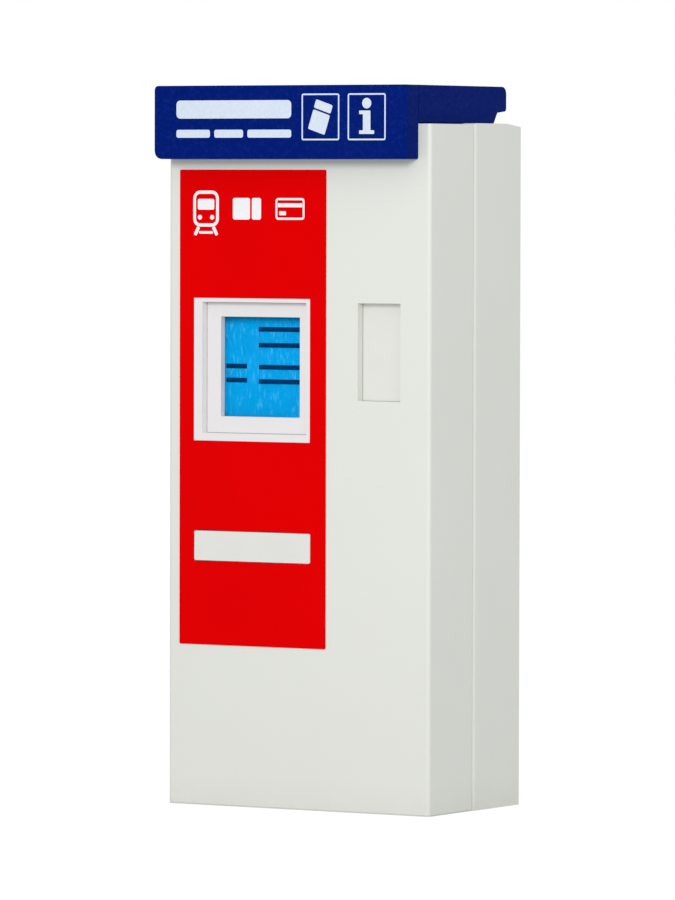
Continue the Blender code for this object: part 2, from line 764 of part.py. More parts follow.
def build_lock(steel, zinc, black, door_axis):
    """The lock: a case on the door's right wall, a motor, a pinion, two toothed bolts and guides."""
    thickness, gear_thickness, shaft_radius = 0.006, 0.008, 0.004
    up_end, down_end = 1.860 - LOCK_Z, LOCK_Z - 0.040
    bolt_y = (LOCK_Y - thickness / 2, LOCK_Y + thickness / 2)

    up = [(LOCK_X + x, LOCK_Z + z) for x, z in bolt_outline(up_end)]
    upper = prism("lock_bolt_upper", up, 1, bolt_y, zinc)
    down = [(LOCK_X - x, LOCK_Z - z) for x, z in bolt_outline(down_end)]
    lower = prism("lock_bolt_lower", down, 1, bolt_y, zinc)

    gear_addendum, gear_dedendum = 0.0018, 0.0020
    teeth = pinion_outline(gear_addendum, gear_dedendum)
    gear_y = (LOCK_Y - gear_thickness / 2, LOCK_Y + gear_thickness / 2)
    pinion = prism("lock_pinion", [(LOCK_X + x, LOCK_Z + z) for x, z in teeth], 1, gear_y, steel)
    set_origin(pinion, (LOCK_X, LOCK_Y, LOCK_Z))
    plate_y = (LOCK_Y - 0.014, LOCK_Y - 0.011)
    shaft_span = (plate_y[0] + FIT, gear_y[1] + 0.004)
    join(pinion, cylinder("pinion_shaft", 1, (LOCK_X, LOCK_Z), shaft_radius, shaft_span))

    wall = RIGHT - SHEET - FIT
    case_z, flange = (LOCK_Z - 0.070, LOCK_Z + 0.070), 0.044
    case = block("lock_case", (LOCK_X - 0.040, wall), plate_y, case_z, steel)
    flange_y = (plate_y[0] + FIT, plate_y[0] + flange)
    flange_z = (case_z[0] + FIT, case_z[1] - FIT)
    join(case, block("case_flange", (wall - SHEET, wall - FIT), flange_y, flange_z))
    bore_span = (plate_y[0] - SHEET, plate_y[1] + SHEET)
    cut(case, cylinder("case_bore", 1, (LOCK_X, LOCK_Z), shaft_radius + FIT, bore_span))

    motor_size, motor_depth = 0.028, 0.075
    motor_y = (plate_y[0] - FIT - motor_depth, plate_y[0] - FIT)
    motor = block(
        "lock_motor",
        (LOCK_X - motor_size, LOCK_X + motor_size),
        motor_y,
        (LOCK_Z - motor_size, LOCK_Z + motor_size),
        black,
    )

    clearance, guide_half, guide_edge = 0.0006, 0.010, 0.006
    guides = []
    reach = PITCH_RADIUS + RACK_DEDENDUM
    for name, bolt_left, z in (
        ("bolt_guide_upper", LOCK_X - reach - BOLT_BAR, 1.600),
        ("bolt_guide_lower", LOCK_X + reach, 0.300),
    ):
        span = (bolt_left - guide_edge, wall)
        depth = (LOCK_Y - guide_half, LOCK_Y + guide_half)
        guide = block(name, span, depth, (z - guide_half, z + guide_half), black)
        slot = block(
            f"{name}_slot",
            (bolt_left - clearance, bolt_left + BOLT_BAR + clearance),
            (bolt_y[0] - clearance, bolt_y[1] + clearance),
            (z - 2 * guide_half, z + 2 * guide_half),
        )
        guides.append(cut(guide, slot))

    carry(door_axis, case, motor, *guides)
    upper_axis = joint_axis("upper_bolt_slide", (LOCK_X - reach, LOCK_Y, LOCK_Z), door_axis)
    lower_axis = joint_axis("lower_bolt_slide", (LOCK_X + reach, LOCK_Y, LOCK_Z), door_axis)
    pinion_axis = joint_axis("pinion_axis", (LOCK_X, LOCK_Y, LOCK_Z), door_axis)
    carry(upper_axis, upper)
    carry(lower_axis, lower)
    carry(pinion_axis, pinion)
    build_keeps(steel, LOCK_X - reach - BOLT_BAR / 2, LOCK_X + reach + BOLT_BAR / 2)


def build_keeps(steel, upper_x, lower_x):
    """The two keeps on the fixed cabinet that the bolts run into."""
    half_width, room = 0.020, 0.0015
    plate_z, front = (1.866, 1.872), LOCK_Y - 0.025
    leg_y = (LIP_BACK + FIT, LIP_BACK + FIT + 0.004)
    across = (upper_x - half_width, upper_x + half_width)
    keep = block("bolt_keep_upper", across, (front, leg_y[1]), plate_z, steel)
    leg_top = CEILING - 2 * FIT
    inset = 0.0004
    leg_x = (across[0] + inset, across[1] - inset)
    join(keep, block("keep_leg", leg_x, (leg_y[0], leg_y[1] - inset), (plate_z[0] + inset, leg_top)))
    half_hole = BOLT_BAR / 2 + room
    hole_y = (LOCK_Y - half_hole, LOCK_Y + half_hole)
    through = (plate_z[0] - SHEET, plate_z[1] + SHEET)
    cut(keep, block("keep_hole", (upper_x - half_hole, upper_x + half_hole), hole_y, through))

    block_z = (BASE_PLATE + FIT, 0.034)
    across = (lower_x - half_width, lower_x + half_width)
    depth = (LOCK_Y - half_width, LOCK_Y + half_width)
    low_keep = block("bolt_keep_lower", across, depth, block_z, steel)
    through = (0.0, 2 * block_z[1])
    cut(low_keep, block("low_keep_hole", (lower_x - half_hole, lower_x + half_hole), hole_y, through))


# The works inside the cabinet


def build_equipment_plate(steel):
    """The plate on the cabinet's back wall that shelf and electronics are fixed to."""
    half_width, low, high = 0.340, 0.160, 1.740
    depth = (PLATE_FRONT, PLATE_FRONT + SHEET)
    block("equipment_plate", (-half_width, half_width), depth, (low, high), steel)


def build_shelf(steel):
    """The printer's shelf, with two gussets welded under it."""
    half_width, front, gusset_drop, gusset, gusset_edge = 0.150, 0.000, 0.120, 0.004, 0.020
    back = PLATE_FRONT - FIT
    x = (PRINTER_X - half_width, PRINTER_X + half_width)
    shelf = block("printer_shelf", x, (front, back), (SHELF_TOP - SHEET, SHELF_TOP), steel)
    inside_shelf, gusset_back = SHELF_TOP - SHEET / 2, back - FIT
    under = SHELF_TOP - SHEET
    outline = [
        (front + gusset_drop / 4, inside_shelf),
        (front + gusset_drop / 4, under - gusset),
        (gusset_back - gusset, under - gusset_drop),
        (gusset_back, under - gusset_drop),
        (gusset_back, inside_shelf),
    ]
    for side, at in (("left", x[0] + gusset_edge), ("right", x[1] - gusset_edge - gusset)):
        join(shelf, prism(f"shelf_gusset_{side}", outline, 0, (at, at + gusset)))


def build_printer(steel, black, rubber, paper):
    """The ticket printer: frame, paper roll on a spindle, paper, platen roller, print head and cutter."""
    side, base, room = 0.003, 0.003, 0.005
    half = PAPER_WIDTH / 2 + room
    depth, top = (0.000, 0.215), 1.085
    low = SHELF_TOP + FIT
    x = (PRINTER_X - half - side, PRINTER_X + half + side)
    frame = block("printer_frame", x, depth, (low, top), steel)
    inside = (PRINTER_X - half, PRINTER_X + half)
    past = (depth[0] - side, depth[1] + side)
    cut(frame, block("printer_inside", inside, past, (low + base, top + side)))

    roll_z = PAPER_Z + PAPER_THICKNESS + FIT + ROLL_RADIUS
    spindle_radius, core, running = 0.012, 0.0125, 0.0005
    out = 0.004
    spindle_span = (x[0] - out, x[1] + out)
    holes = (x[0] - side, x[1] + side)
    cut(frame, cylinder("spindle_holes", 0, (ROLL_Y, roll_z), spindle_radius + FIT, holes))
    cylinder("roll_spindle", 0, (ROLL_Y, roll_z), spindle_radius, spindle_span, steel)
    paper_span = (PRINTER_X - PAPER_WIDTH / 2, PRINTER_X + PAPER_WIDTH / 2)
    roll = cylinder("paper_roll", 0, (ROLL_Y, roll_z), ROLL_RADIUS, paper_span, paper, 48)
    cut(roll, cylinder("roll_core", 0, (ROLL_Y, roll_z), core + running, holes, sides=48))
    carry(joint_axis("roll_axis", (PRINTER_X, ROLL_Y, roll_z)), roll)

    paper_z = (PAPER_Z, PAPER_Z + PAPER_THICKNESS)
    mouth = -0.0085
    block("ticket_paper", paper_span, (mouth, ROLL_Y), paper_z, paper)

    platen_z = PAPER_Z - FIT - PLATEN_RADIUS
    shaft, shaft_end = 0.003, 0.006
    platen = cylinder("platen_roller", 0, (PLATEN_Y, platen_z), PLATEN_RADIUS, paper_span, rubber, 32)
    shaft_span = (x[0] - shaft_end, x[1] + shaft_end)
    join(platen, cylinder("platen_shaft", 0, (PLATEN_Y, platen_z), shaft, shaft_span))
    cut(frame, cylinder("shaft_holes", 0, (PLATEN_Y, platen_z), shaft + FIT, (x[0] - out, x[1] + out)))
    carry(joint_axis("platen_axis", (PRINTER_X, PLATEN_Y, platen_z)), platen)

    between = (inside[0] + FIT, inside[1] - FIT)
    head_half, head_height = 0.009, 0.026
    head_low = paper_z[1] + FIT
    head_y = (PLATEN_Y - head_half, PLATEN_Y + head_half)
    block("print_head", between, head_y, (head_low, head_low + head_height), black)
    cutter_y, cutter_half, slot_half = (-0.0075, 0.0055), 0.014, 0.001
    middle = PAPER_Z + PAPER_THICKNESS / 2
    cutter_z = (middle - cutter_half, middle + cutter_half)
    cutter = block("ticket_cutter", between, cutter_y, cutter_z, steel)
    slot_x = (paper_span[0] - slot_half, paper_span[1] + slot_half)
    slot_y = (cutter_y[0] - slot_half, cutter_y[1] + slot_half)
    cut(cutter, block("cutter_slot", slot_x, slot_y, (middle - slot_half, middle + slot_half)))


def build_fan(black, centre_x, centre_z, back):
    """The cooling fan on the controller's front: a square housing with a spider, and its rotor."""
    half, depth, bore = 0.040, 0.025, 0.037
    hub, spider, strut = 0.0165, 0.003, 0.004
    span = (back - depth, back)
    centre = (centre_x, centre_z)
    housing = block(
        "fan_housing",
        (centre_x - half, centre_x + half),
        span,
        (centre_z - half, centre_z + half),
        black,
    )
    cut(housing, cylinder("fan_bore", 1, centre, bore, (span[0] - depth, span[1] + depth), sides=32))
    spider_y = (back - spider, back - FIT)
    join(housing, cylinder("fan_hub", 1, centre, hub, spider_y))
    for i in range(3):
        arm_y = (spider_y[0] + FIT, spider_y[1] - FIT)
        arm = block(f"fan_strut_{i}", (0, bore + strut / 2), arm_y, (-strut / 2, strut / 2))
        set_origin(arm, (0, (spider_y[0] + spider_y[1]) / 2, 0))
        arm.rotation_euler = (0, math.radians(30 + 120 * i), 0)
        arm.location = (centre_x, arm.location.y, centre_z)
        join(housing, arm)

    blades, blade_reach, blade_width, blade_sheet, pitch_angle = 7, 0.0345, 0.015, 0.0014, 38
    rotor_span = (span[0] + 0.002, spider_y[0] - 0.0008)
    rotor = cylinder("fan_rotor", 1, centre, hub, rotor_span, black, 28)
    middle = (rotor_span[0] + rotor_span[1]) / 2
    for i in range(blades):
        blade = block(
            f"fan_blade_{i}",
            (hub * 0.7, blade_reach),
            (-blade_width / 2, blade_width / 2),
            (-blade_sheet / 2, blade_sheet / 2),
        )
        set_origin(blade, (0, 0, 0))
        turn = Matrix.Rotation(2 * math.pi * i / blades, 4, "Y")
        tilt = Matrix.Rotation(math.radians(pitch_angle), 4, "X")
        blade.matrix_world = Matrix.Translation((centre_x, middle, centre_z)) @ turn @ tilt
        join(rotor, blade)
    carry(joint_axis("fan_axis", (centre_x, middle, centre_z)), rotor)


def build_electronics(paint, steel, black):
    """The controller with its fan, the power supply, the modem and the mains box with its switch."""
    back = PLATE_FRONT - FIT
    controller_front = 0.150
    block("controller_box", (-0.050, 0.230), (controller_front, back), (1.250, 1.540), steel)
    build_fan(black, 0.090, 1.395, controller_front - FIT)
    block("power_supply", (-0.300, -0.080), (0.160, back), (0.360, 0.560), steel)
    block("modem_box", (-0.300, -0.160), (0.200, back), (1.320, 1.440), black)

    box_x, box_front, box_z = (0.120, 0.280), 0.170, (0.360, 0.560)
    mains = block("mains_box", box_x, (box_front, back), box_z, paint)
    pivot = Vector(((box_x[0] + box_x[1]) / 2, box_front + 0.008, 0.470))
    lever_half, lever_radius, lever_length, throw = 0.008, 0.004, 0.026, 25
    slot_half, slot_depth = 0.016, 0.016
    slot_x = (pivot.x - lever_half - 0.001, pivot.x + lever_half + 0.001)
    slot_y = (box_front - slot_depth, box_front + slot_depth)
    slot_z = (pivot.z - slot_half, pivot.z + slot_half)
    cut(mains, block("lever_slot", slot_x, slot_y, slot_z))
    outline = arc((0.0, 0.0), lever_radius, -90, 90, 6)
    outline += arc((-lever_length, 0.0), lever_radius * 0.7, 90, 270, 4)
    lever = prism("mains_switch", outline, 0, (-lever_half, lever_half), black)
    lever.rotation_euler = (-math.radians(throw), 0, 0)
    lever.location = pivot
    carry(joint_axis("switch_axis", pivot), lever)


def main():
    for obj in list(bpy.data.objects):
        bpy.data.objects.remove(obj)

    paint = finish("pale_grey_paint", (0.77, 0.78, 0.74), 0.45)
    red = finish("red_panel", (0.76, 0.0, 0.0), 0.40)
    blue = finish("blue_enamel", (0.003, 0.014, 0.17), 0.45)
    white = finish("white_plastic", (0.80, 0.80, 0.78), 0.45)
    glass = finish("screen_glass", (0.05, 0.30, 0.60), 0.10)
    screen_blue = finish("screen_blue", (0.0, 0.34, 0.76), 0.35)
    steel = finish("zinc_plated_steel", (0.55, 0.56, 0.58), 0.40, 0.9)
    zinc = finish("bright_steel", (0.62, 0.62, 0.64), 0.30, 1.0)
    brass = finish("brass", (0.70, 0.52, 0.22), 0.35, 1.0)
    black = finish("black_plastic", (0.03, 0.03, 0.035), 0.50)
    rubber = finish("grey_rubber", (0.25, 0.25, 0.25), 0.80)
    paper = finish("ticket_paper", (0.85, 0.84, 0.80), 0.85)

    gland_place = build_base(steel)
    build_gland(gland_place, black)
    build_cabinet(paint)
    build_gasket(rubber)
    build_roof(blue)
    build_equipment_plate(steel)
    build_shelf(steel)
    build_printer(steel, black, rubber, paper)
    build_electronics(paint, steel, black)

    door_axis = joint_axis("door_axis", (HINGE_X, SEAM, 0.0))
    sign_bolts = [(SIGN_LEFT + 0.150, 1.850), (SIGN_RIGHT - 0.150, 1.850)]
    bolt_x = LOCK_X + PITCH_RADIUS + RACK_DEDENDUM + BOLT_BAR / 2
    tray, pin, flap, chute = build_tray(white, steel)
    on_door = [
        *build_hinges(steel, brass),
        build_door_shell(paint, sign_bolts, bolt_x),
        build_fascia(red),
        *build_sign(blue, white, steel, sign_bolts),
        *build_screen(white, glass, screen_blue, steel),
        *build_payment(paint, white, black),
        tray,
        pin,
        chute,
    ]
    carry(door_axis, *on_door)
    carry(joint_axis("flap_axis", (PRINTER_X, FLAP_AXIS_Y, FLAP_AXIS_Z), door_axis), flap)
    build_lock(steel, zinc, black, door_axis)


main()
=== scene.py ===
import math

import bmesh
import bpy
from mathutils import Matrix, Vector


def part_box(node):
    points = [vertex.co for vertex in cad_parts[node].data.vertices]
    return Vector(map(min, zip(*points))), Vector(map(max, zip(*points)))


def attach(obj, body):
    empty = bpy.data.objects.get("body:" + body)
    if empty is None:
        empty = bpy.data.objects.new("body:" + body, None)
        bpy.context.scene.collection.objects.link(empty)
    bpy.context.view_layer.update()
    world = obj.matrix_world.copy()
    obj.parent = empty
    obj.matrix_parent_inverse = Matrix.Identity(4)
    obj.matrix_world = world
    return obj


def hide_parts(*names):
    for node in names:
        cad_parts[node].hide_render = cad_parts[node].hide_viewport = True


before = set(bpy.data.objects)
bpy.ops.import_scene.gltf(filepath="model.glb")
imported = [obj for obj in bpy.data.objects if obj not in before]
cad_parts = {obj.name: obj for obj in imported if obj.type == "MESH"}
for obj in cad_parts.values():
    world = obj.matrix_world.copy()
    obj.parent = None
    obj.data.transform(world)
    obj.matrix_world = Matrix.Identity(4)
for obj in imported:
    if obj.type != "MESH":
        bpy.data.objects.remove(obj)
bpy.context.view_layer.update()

# Base frame: a plate over the whole footprint with low upstands that the cabinet is bolted to.
# Folded and welded sheet steel, zinc plated. Hexagon bolts on washers hold it to the floor.


def linear(code):
    """A screen colour of three values up to 255, as the linear colour that a shader takes."""
    parts = [value / 255 for value in code]
    return [p / 12.92 if p <= 0.04045 else ((p + 0.055) / 1.055) ** 2.4 for p in parts]


def add_node(tree, kind, constants, links):
    """A shader node with some of its inputs set to constants and others linked to outputs."""
    node = tree.nodes.new(f"ShaderNode{kind}")
    for socket, value in constants.items():
        node.inputs[socket].default_value = value
    for socket, output in links.items():
        tree.links.new(output, node.inputs[socket])
    return node


class Finish:
    """A surface finish, built up in layers on a piece's own coordinates. Sizes are in metres."""

    def __init__(self, name, colour, metallic=0.0, specular=0.5):
        self.material = bpy.data.materials.new(name)
        self.material.use_nodes = True
        self.tree = self.material.node_tree
        self.shader = self.tree.nodes["Principled BSDF"]
        self.set("Base Color", (*linear(colour), 1.0))
        self.set("Metallic", metallic)
        self.set("Specular IOR Level", specular)
        self.place = self.add("TexCoord", {}, {}).outputs["Object"]

    def set(self, socket, value):
        self.shader.inputs[socket].default_value = value

    def add(self, kind, constants, links):
        return add_node(self.tree, kind, constants, links)

    def feed(self, output, socket):
        self.tree.links.new(output, socket)

    def mapped(self, scale, centre=(0, 0, 0)):
        moved = [-c * s for c, s in zip(centre, scale)]
        node = self.add("Mapping", {"Scale": scale, "Location": moved}, {"Vector": self.place})
        return node.outputs["Vector"]

    def noise(self, size, detail=3.0, drawn=(1, 1, 1)):
        """Soft noise with spots of a size, drawn out along the axes."""
        vector = self.mapped([1 / (size * d) for d in drawn])
        node = self.add("TexNoise", {"Scale": 1.0, "Detail": detail}, {"Vector": vector})
        return node.outputs["Fac"]

    def cells(self, size):
        """Flat crystal cells of a size, each with its own even value."""
        crystals = self.add("TexVoronoi", {"Scale": 1.0}, {"Vector": self.mapped([1 / size] * 3)})
        split = self.add("SeparateColor", {}, {"Color": crystals.outputs["Color"]})
        return split.outputs["Red"]

    def spread(self, pattern, low, high, start=0.3, end=0.7):
        """Stretches what a pattern does between two of its values over a range from low to high."""
        limits = {"From Min": start, "From Max": end, "To Min": low, "To Max": high}
        return self.add("MapRange", limits, {"Value": pattern}).outputs["Result"]

    def tint(self, pattern, colour):
        """Shifts the colour towards another where the pattern is high."""
        mix = self.tree.nodes.new("ShaderNodeMix")
        mix.data_type = "RGBA"
        factor, before, after, mixed = mix.inputs[0], mix.inputs[6], mix.inputs[7], mix.outputs[2]
        base = self.shader.inputs["Base Color"]
        before.default_value = base.default_value
        if base.is_linked:
            self.feed(base.links[0].from_socket, before)
        after.default_value = (*linear(colour), 1.0)
        self.feed(pattern, factor)
        self.feed(mixed, base)

    def roughen(self, pattern, low, high):
        self.feed(self.spread(pattern, low, high), self.shader.inputs["Roughness"])

    def bump(self, pattern, height, strength=1.0):
        node = self.add("Bump", {"Strength": strength, "Distance": height}, {"Height": pattern})
        normal = self.shader.inputs["Normal"]
        if normal.is_linked:
            self.feed(normal.links[0].from_socket, node.inputs["Normal"])
        self.feed(node.outputs["Normal"], normal)


zinc = Finish("zinc_plate", (188, 191, 196), metallic=1.0)
zinc.tint(zinc.cells(0.014), (166, 170, 178))
zinc.roughen(zinc.noise(0.006), 0.30, 0.46)
zinc.bump(zinc.noise(0.0012, drawn=(1, 1, 4)), 0.00004, 0.6)

same_place, weld_distance = 1e-6, 1e-5


def plain_copy(node):
    """The node's own solid as one closed skin, without the lines that divide its flat faces."""
    bm = bmesh.new()
    bm.from_mesh(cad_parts[node].data)
    bmesh.ops.remove_doubles(bm, verts=bm.verts, dist=weld_distance)
    bmesh.ops.dissolve_limit(bm, angle_limit=math.radians(1), verts=bm.verts, edges=bm.edges)
    return bm


def round_off(bm, edges, radius, segments=2):
    bmesh.ops.bevel(
        bm,
        geom=edges,
        offset=radius,
        segments=segments,
        profile=0.5,
        affect="EDGES",
        clamp_overlap=True,
        material=-1,
    )


def sharp_edges(bm, least=50):
    return [e for e in bm.edges if e.is_manifold and e.calc_face_angle() > math.radians(least)]


def add_piece(name, bm, finish, body, slot, *nodes, crease=35):
    """A finished piece that moves with a body of the frame and stands for CAD nodes if it names any."""
    mesh = bpy.data.meshes.new(name)
    bmesh.ops.dissolve_degenerate(bm, dist=same_place, edges=bm.edges)
    bm.to_mesh(mesh)
    bm.free()
    mesh.materials.append(finish.material)
    mesh.shade_smooth()
    mesh.set_sharp_from_angle(angle=math.radians(crease))
    piece = bpy.data.objects.new(name, mesh)
    bpy.context.scene.collection.objects.link(piece)
    weighted = piece.modifiers.new("weighted", "WEIGHTED_NORMAL")
    weighted.keep_sharp = True
    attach(piece, body)
    if nodes:
        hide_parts(*nodes)


sheet, fold_radius, corner_segments = 0.003, 0.015, 5
base_plate_top, base_edge = 0.006, 0.0005
seam_depth, upstand_setback = 0.006, 0.018


def upright(edge):
    first, second = (vert.co for vert in edge.verts)
    return (first - second).to_2d().length < weld_distance


base = plain_copy("base_frame")
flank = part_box("base_frame")[1].x - 2 * sheet
at_seam = [v for v in base.verts if abs(v.co.x) > flank and -seam_depth < v.co.y < 0]
plate_uprights = [e for e in base.edges if upright(e) and e.calc_length() < 2 * base_plate_top]
front_corners = [e for e in plate_uprights if e.verts[0] in at_seam]
upstand_ends = [v for v in at_seam if not any(v in edge.verts for edge in front_corners)]
bmesh.ops.translate(base, vec=(0, upstand_setback, 0), verts=upstand_ends)
round_off(base, front_corners, fold_radius - sheet, corner_segments)
round_off(base, sharp_edges(base), base_edge)
add_piece("base_plate", base, zinc, "cabinet", "zinc_steel", "base_frame")

bright = Finish("bright_drawn_steel", (200, 200, 204), metallic=1.0)
bright.roughen(bright.noise(0.0015, drawn=(1, 1, 12)), 0.18, 0.36)
bright.bump(bright.noise(0.0008, drawn=(1, 1, 20)), 0.00003, 0.5)

hexagon = 6


def outer_face(verts, out):
    """The face of a new shape that lies furthest out in a direction."""
    faces = {face for vert in verts for face in vert.link_faces}
    return max(faces, key=lambda face: face.calc_center_median().dot(out))


def add_fastener(bm, place, out, radius, height, sides=20):
    """A screw head with a socket, or a plain hexagon head, which stands on a surface and faces out."""
    rim_width, socket_wall = radius * 0.5, radius * 0.02
    socket_depth, worn_edge = height * 0.6, height * 0.3
    out = Vector(out)
    turn = Vector((0, 0, 1)).rotation_difference(out).to_matrix().to_4x4()
    raised = Matrix.Translation(place) @ turn @ Matrix.Translation((0, 0, height / 2))
    made = bmesh.ops.create_cone(
        bm, cap_ends=True, segments=sides, radius1=radius, radius2=radius, depth=height, matrix=raised
    )
    cap = outer_face(made["verts"], out)
    rim = list(cap.edges)
    if sides > hexagon:
        bmesh.ops.inset_region(bm, faces=[cap], thickness=rim_width)
        bmesh.ops.inset_region(bm, faces=[cap], thickness=socket_wall, depth=-socket_depth)
    round_off(bm, rim, worn_edge)


def add_bolt(bm, place, out, washer, head):
    """A hexagon bolt on a washer. Each of the two is given as (radius, height)."""
    add_fastener(bm, place, out, *washer)
    washer_height = washer[1]
    seat = [along + way * washer_height for along, way in zip(place, out)]
    add_fastener(bm, seat, out, *head, sides=hexagon)


anchor_columns, anchor_rows = (-0.320, 0.320), (-0.180, 0.060, 0.190)
anchor_washer, anchor_head = (0.015, 0.0025), (0.0105, 0.0075)
anchors = bmesh.new()
for x in anchor_columns:
    for y in anchor_rows:
        add_bolt(anchors, (x, y, base_plate_top), (0, 0, 1), anchor_washer, anchor_head)
add_piece("anchor_bolts", anchors, bright, "cabinet", "bright_steel")

# Cable gland: the nut and collar in the base that the supply cable comes in through.
# Moulded black nylon with a fine matt grain, screwed into the plate.


def rounded_copy(node, edge, segments=2):
    """The node's own solid with its sharp edges broken, as a finished edge is."""
    bm = plain_copy(node)
    round_off(bm, sharp_edges(bm), edge, segments)
    return bm


def dress(name, node, finish, body, slot, edge, segments=2):
    """A piece that stands for a node and has its form, with finished edges."""
    add_piece(name, rounded_copy(node, edge, segments), finish, body, slot, node)


def mottled(name, colours, sizes, rough, relief, specular, share=None, detail=3.0):
    """A finish with spots of a second colour, patches of gloss and a fine raised grain.

    The sizes are of the spots, the patches and the grain. The relief is the grain's height and strength.
    The share is how far the spots go over to the second colour.
    """
    first, second = colours
    spot_size, patch_size, grain_size = sizes
    finish = Finish(name, first, specular=specular)
    spots = finish.noise(spot_size, detail)
    if share is not None:
        spots = finish.spread(spots, 0.0, share)
    finish.tint(spots, second)
    finish.roughen(finish.noise(patch_size), *rough)
    finish.bump(finish.noise(grain_size), *relief)
    return finish


nylon = mottled(
    "black_nylon",
    colours=((38, 38, 41), (46, 46, 48)),
    sizes=(0.05, 0.004, 0.0007),
    rough=(0.42, 0.60),
    relief=(0.00005, 0.7),
    specular=0.4,
)
dress("gland", "cable_gland", nylon, "cabinet", "black_plastic", edge=0.001)

# Rear cabinet: sides and sloped top in one folded skin with a lip round its open front, and its back.
# Sheet steel under a satin powder coat, with the faint orange peel that such a coat has.
# The back is a flat panel with vent slots, held by screws round its edge.


def height_on(finish, low, high):
    """0 below one height on the machine and 1 above the other."""
    split = finish.add("SeparateXYZ", {}, {"Vector": finish.place})
    return finish.spread(split.outputs["Z"], 0.0, 1.0, low, high)


def powder_coat(name, colour, dusty, floor_dirt):
    """A satin coat that has dulled in patches and is a little soiled near the floor."""
    splash_height, splash_share = 0.09, 0.22
    coat = Finish(name, colour, specular=0.25)
    coat.tint(coat.spread(coat.noise(0.5, detail=2.0), 0.0, 0.35), dusty)
    near_floor = coat.spread(height_on(coat, 0.0, splash_height), splash_share, 0.0, 0.0, 1.0)
    splashes = coat.add("Math", {}, {0: near_floor, 1: coat.noise(0.05, detail=6.0)})
    splashes.operation = "MULTIPLY"
    coat.tint(splashes.outputs["Value"], floor_dirt)
    coat.roughen(coat.noise(0.12), 0.40, 0.54)
    coat.bump(coat.noise(0.0022, detail=2.0), 0.00005, 0.55)
    return coat


pale_coat = powder_coat("pale_powder_coat", (228, 230, 224), (223, 225, 218), (182, 178, 168))
shell_low, shell_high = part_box("cabinet_shell")
slope_run, slope_drop, lip_width = 0.076, 0.0085, 0.021
seam_segments, skin_edge = 8, 0.0008
skin = bmesh.new()


def skin_face(*corners):
    skin.faces.new([skin.verts.new(corner) for corner in corners])


left, right, front, rear, top = shell_low.x, shell_high.x, shell_low.y, shell_high.y, shell_high.z
knee, eaves, lip_top = rear - slope_run, top - slope_drop, top - lip_width
lip_left, lip_right = left + lip_width, right - lip_width
side_outline = ((front, 0), (rear, 0), (rear, eaves), (knee, top), (front, top))
for outer, inner in ((left, lip_left), (right, lip_right)):
    skin_face(*[(outer, y, z) for y, z in side_outline])
    skin_face((outer, front, 0), (outer, front, top), (inner, front, lip_top), (inner, front, 0))
skin_face((left, front, top), (right, front, top), (lip_right, front, lip_top), (lip_left, front, lip_top))
skin_face((left, front, top), (left, knee, top), (right, knee, top), (right, front, top))
skin_face((left, knee, top), (left, rear, eaves), (right, rear, eaves), (right, knee, top))
bmesh.ops.remove_doubles(skin, verts=skin.verts, dist=same_place)
bmesh.ops.recalc_face_normals(skin, faces=skin.faces)
seam_edges = [
    e for e in sharp_edges(skin) if all(abs(vert.co.y - front) < same_place for vert in e.verts)
]
round_off(skin, seam_edges, fold_radius, seam_segments)
bmesh.ops.solidify(skin, geom=skin.faces, thickness=sheet)
round_off(skin, sharp_edges(skin), skin_edge)
add_piece("rear_cabinet", skin, pale_coat, "cabinet", "pale_paint", "cabinet_shell")

back_low, back_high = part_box("cabinet_back")
panel_recess, panel_edge = 0.0008, 0.0004
panel_rear = back_high.y - panel_recess
slot_length, slot_columns = 0.120, (-0.225, -0.075, 0.075, 0.225)
slot_height, slot_pitch, slot_blocks = 0.006, 0.016, ((0.080, 4), (1.774, 5))
slot_rows = [lowest + slot_pitch * i for lowest, rows in slot_blocks for i in range(rows)]
panel = bmesh.new()
panel_sides = ((back_low.x, back_low.z, back_high.z), (back_high.x, back_high.z, back_low.z))
panel.faces.new([panel.verts.new((x, panel_rear, z)) for x, *levels in panel_sides for z in levels])
slot_cuts = (((1, 0, 0), slot_columns, slot_length), ((0, 0, 1), slot_rows, slot_height))
for direction, middles, size in slot_cuts:
    for middle in middles:
        for end in (middle - size / 2, middle + size / 2):
            everything = panel.verts[:] + panel.edges[:] + panel.faces[:]
            cut = Vector(direction) * end
            bmesh.ops.bisect_plane(panel, geom=everything, plane_co=cut, plane_no=direction)


def in_a_slot(place):
    over = min(abs(place.x - middle) for middle in slot_columns)
    up = min(abs(place.z - middle) for middle in slot_rows)
    return over < slot_length / 2 and up < slot_height / 2


slots = [face for face in panel.faces if in_a_slot(face.calc_center_median())]
bmesh.ops.delete(panel, geom=slots, context="FACES")
bmesh.ops.solidify(panel, geom=panel.faces, thickness=panel_rear - back_low.y)
round_off(panel, sharp_edges(panel), panel_edge)
add_piece("rear_panel", panel, pale_coat, "cabinet", "pale_paint", "cabinet_back")


def spaced(first, last, count):
    """Places at even distances along a line."""
    return [first + (last - first) * i / (count - 1) for i in range(count)]


def add_screws(name, seats, out, radius, height, body="cabinet"):
    """A set of bright socket screws on surfaces that face out."""
    screws = bmesh.new()
    for seat in seats:
        add_fastener(screws, seat, out, radius, height)
    add_piece(name, screws, bright, body, "bright_steel")


edge_columns, middle_columns, panel_screw_radius = (-0.404, 0.404), (-0.15, 0.15), 0.0055
screw_levels = spaced(0.034, 1.866, 8)
panel_seats = []
for z in screw_levels:
    at_end = z in (screw_levels[0], screw_levels[-1])
    across = edge_columns + middle_columns if at_end else edge_columns
    panel_seats += [(x, panel_rear, z) for x in across]
add_screws("rear_panel_screws", panel_seats, (0, 1, 0), panel_screw_radius, panel_recess)

# Door seal: a flat ring in the seam between the cabinet's lip and the door's edge.
# Pale grey foam rubber, cut from strip and glued to the lip.


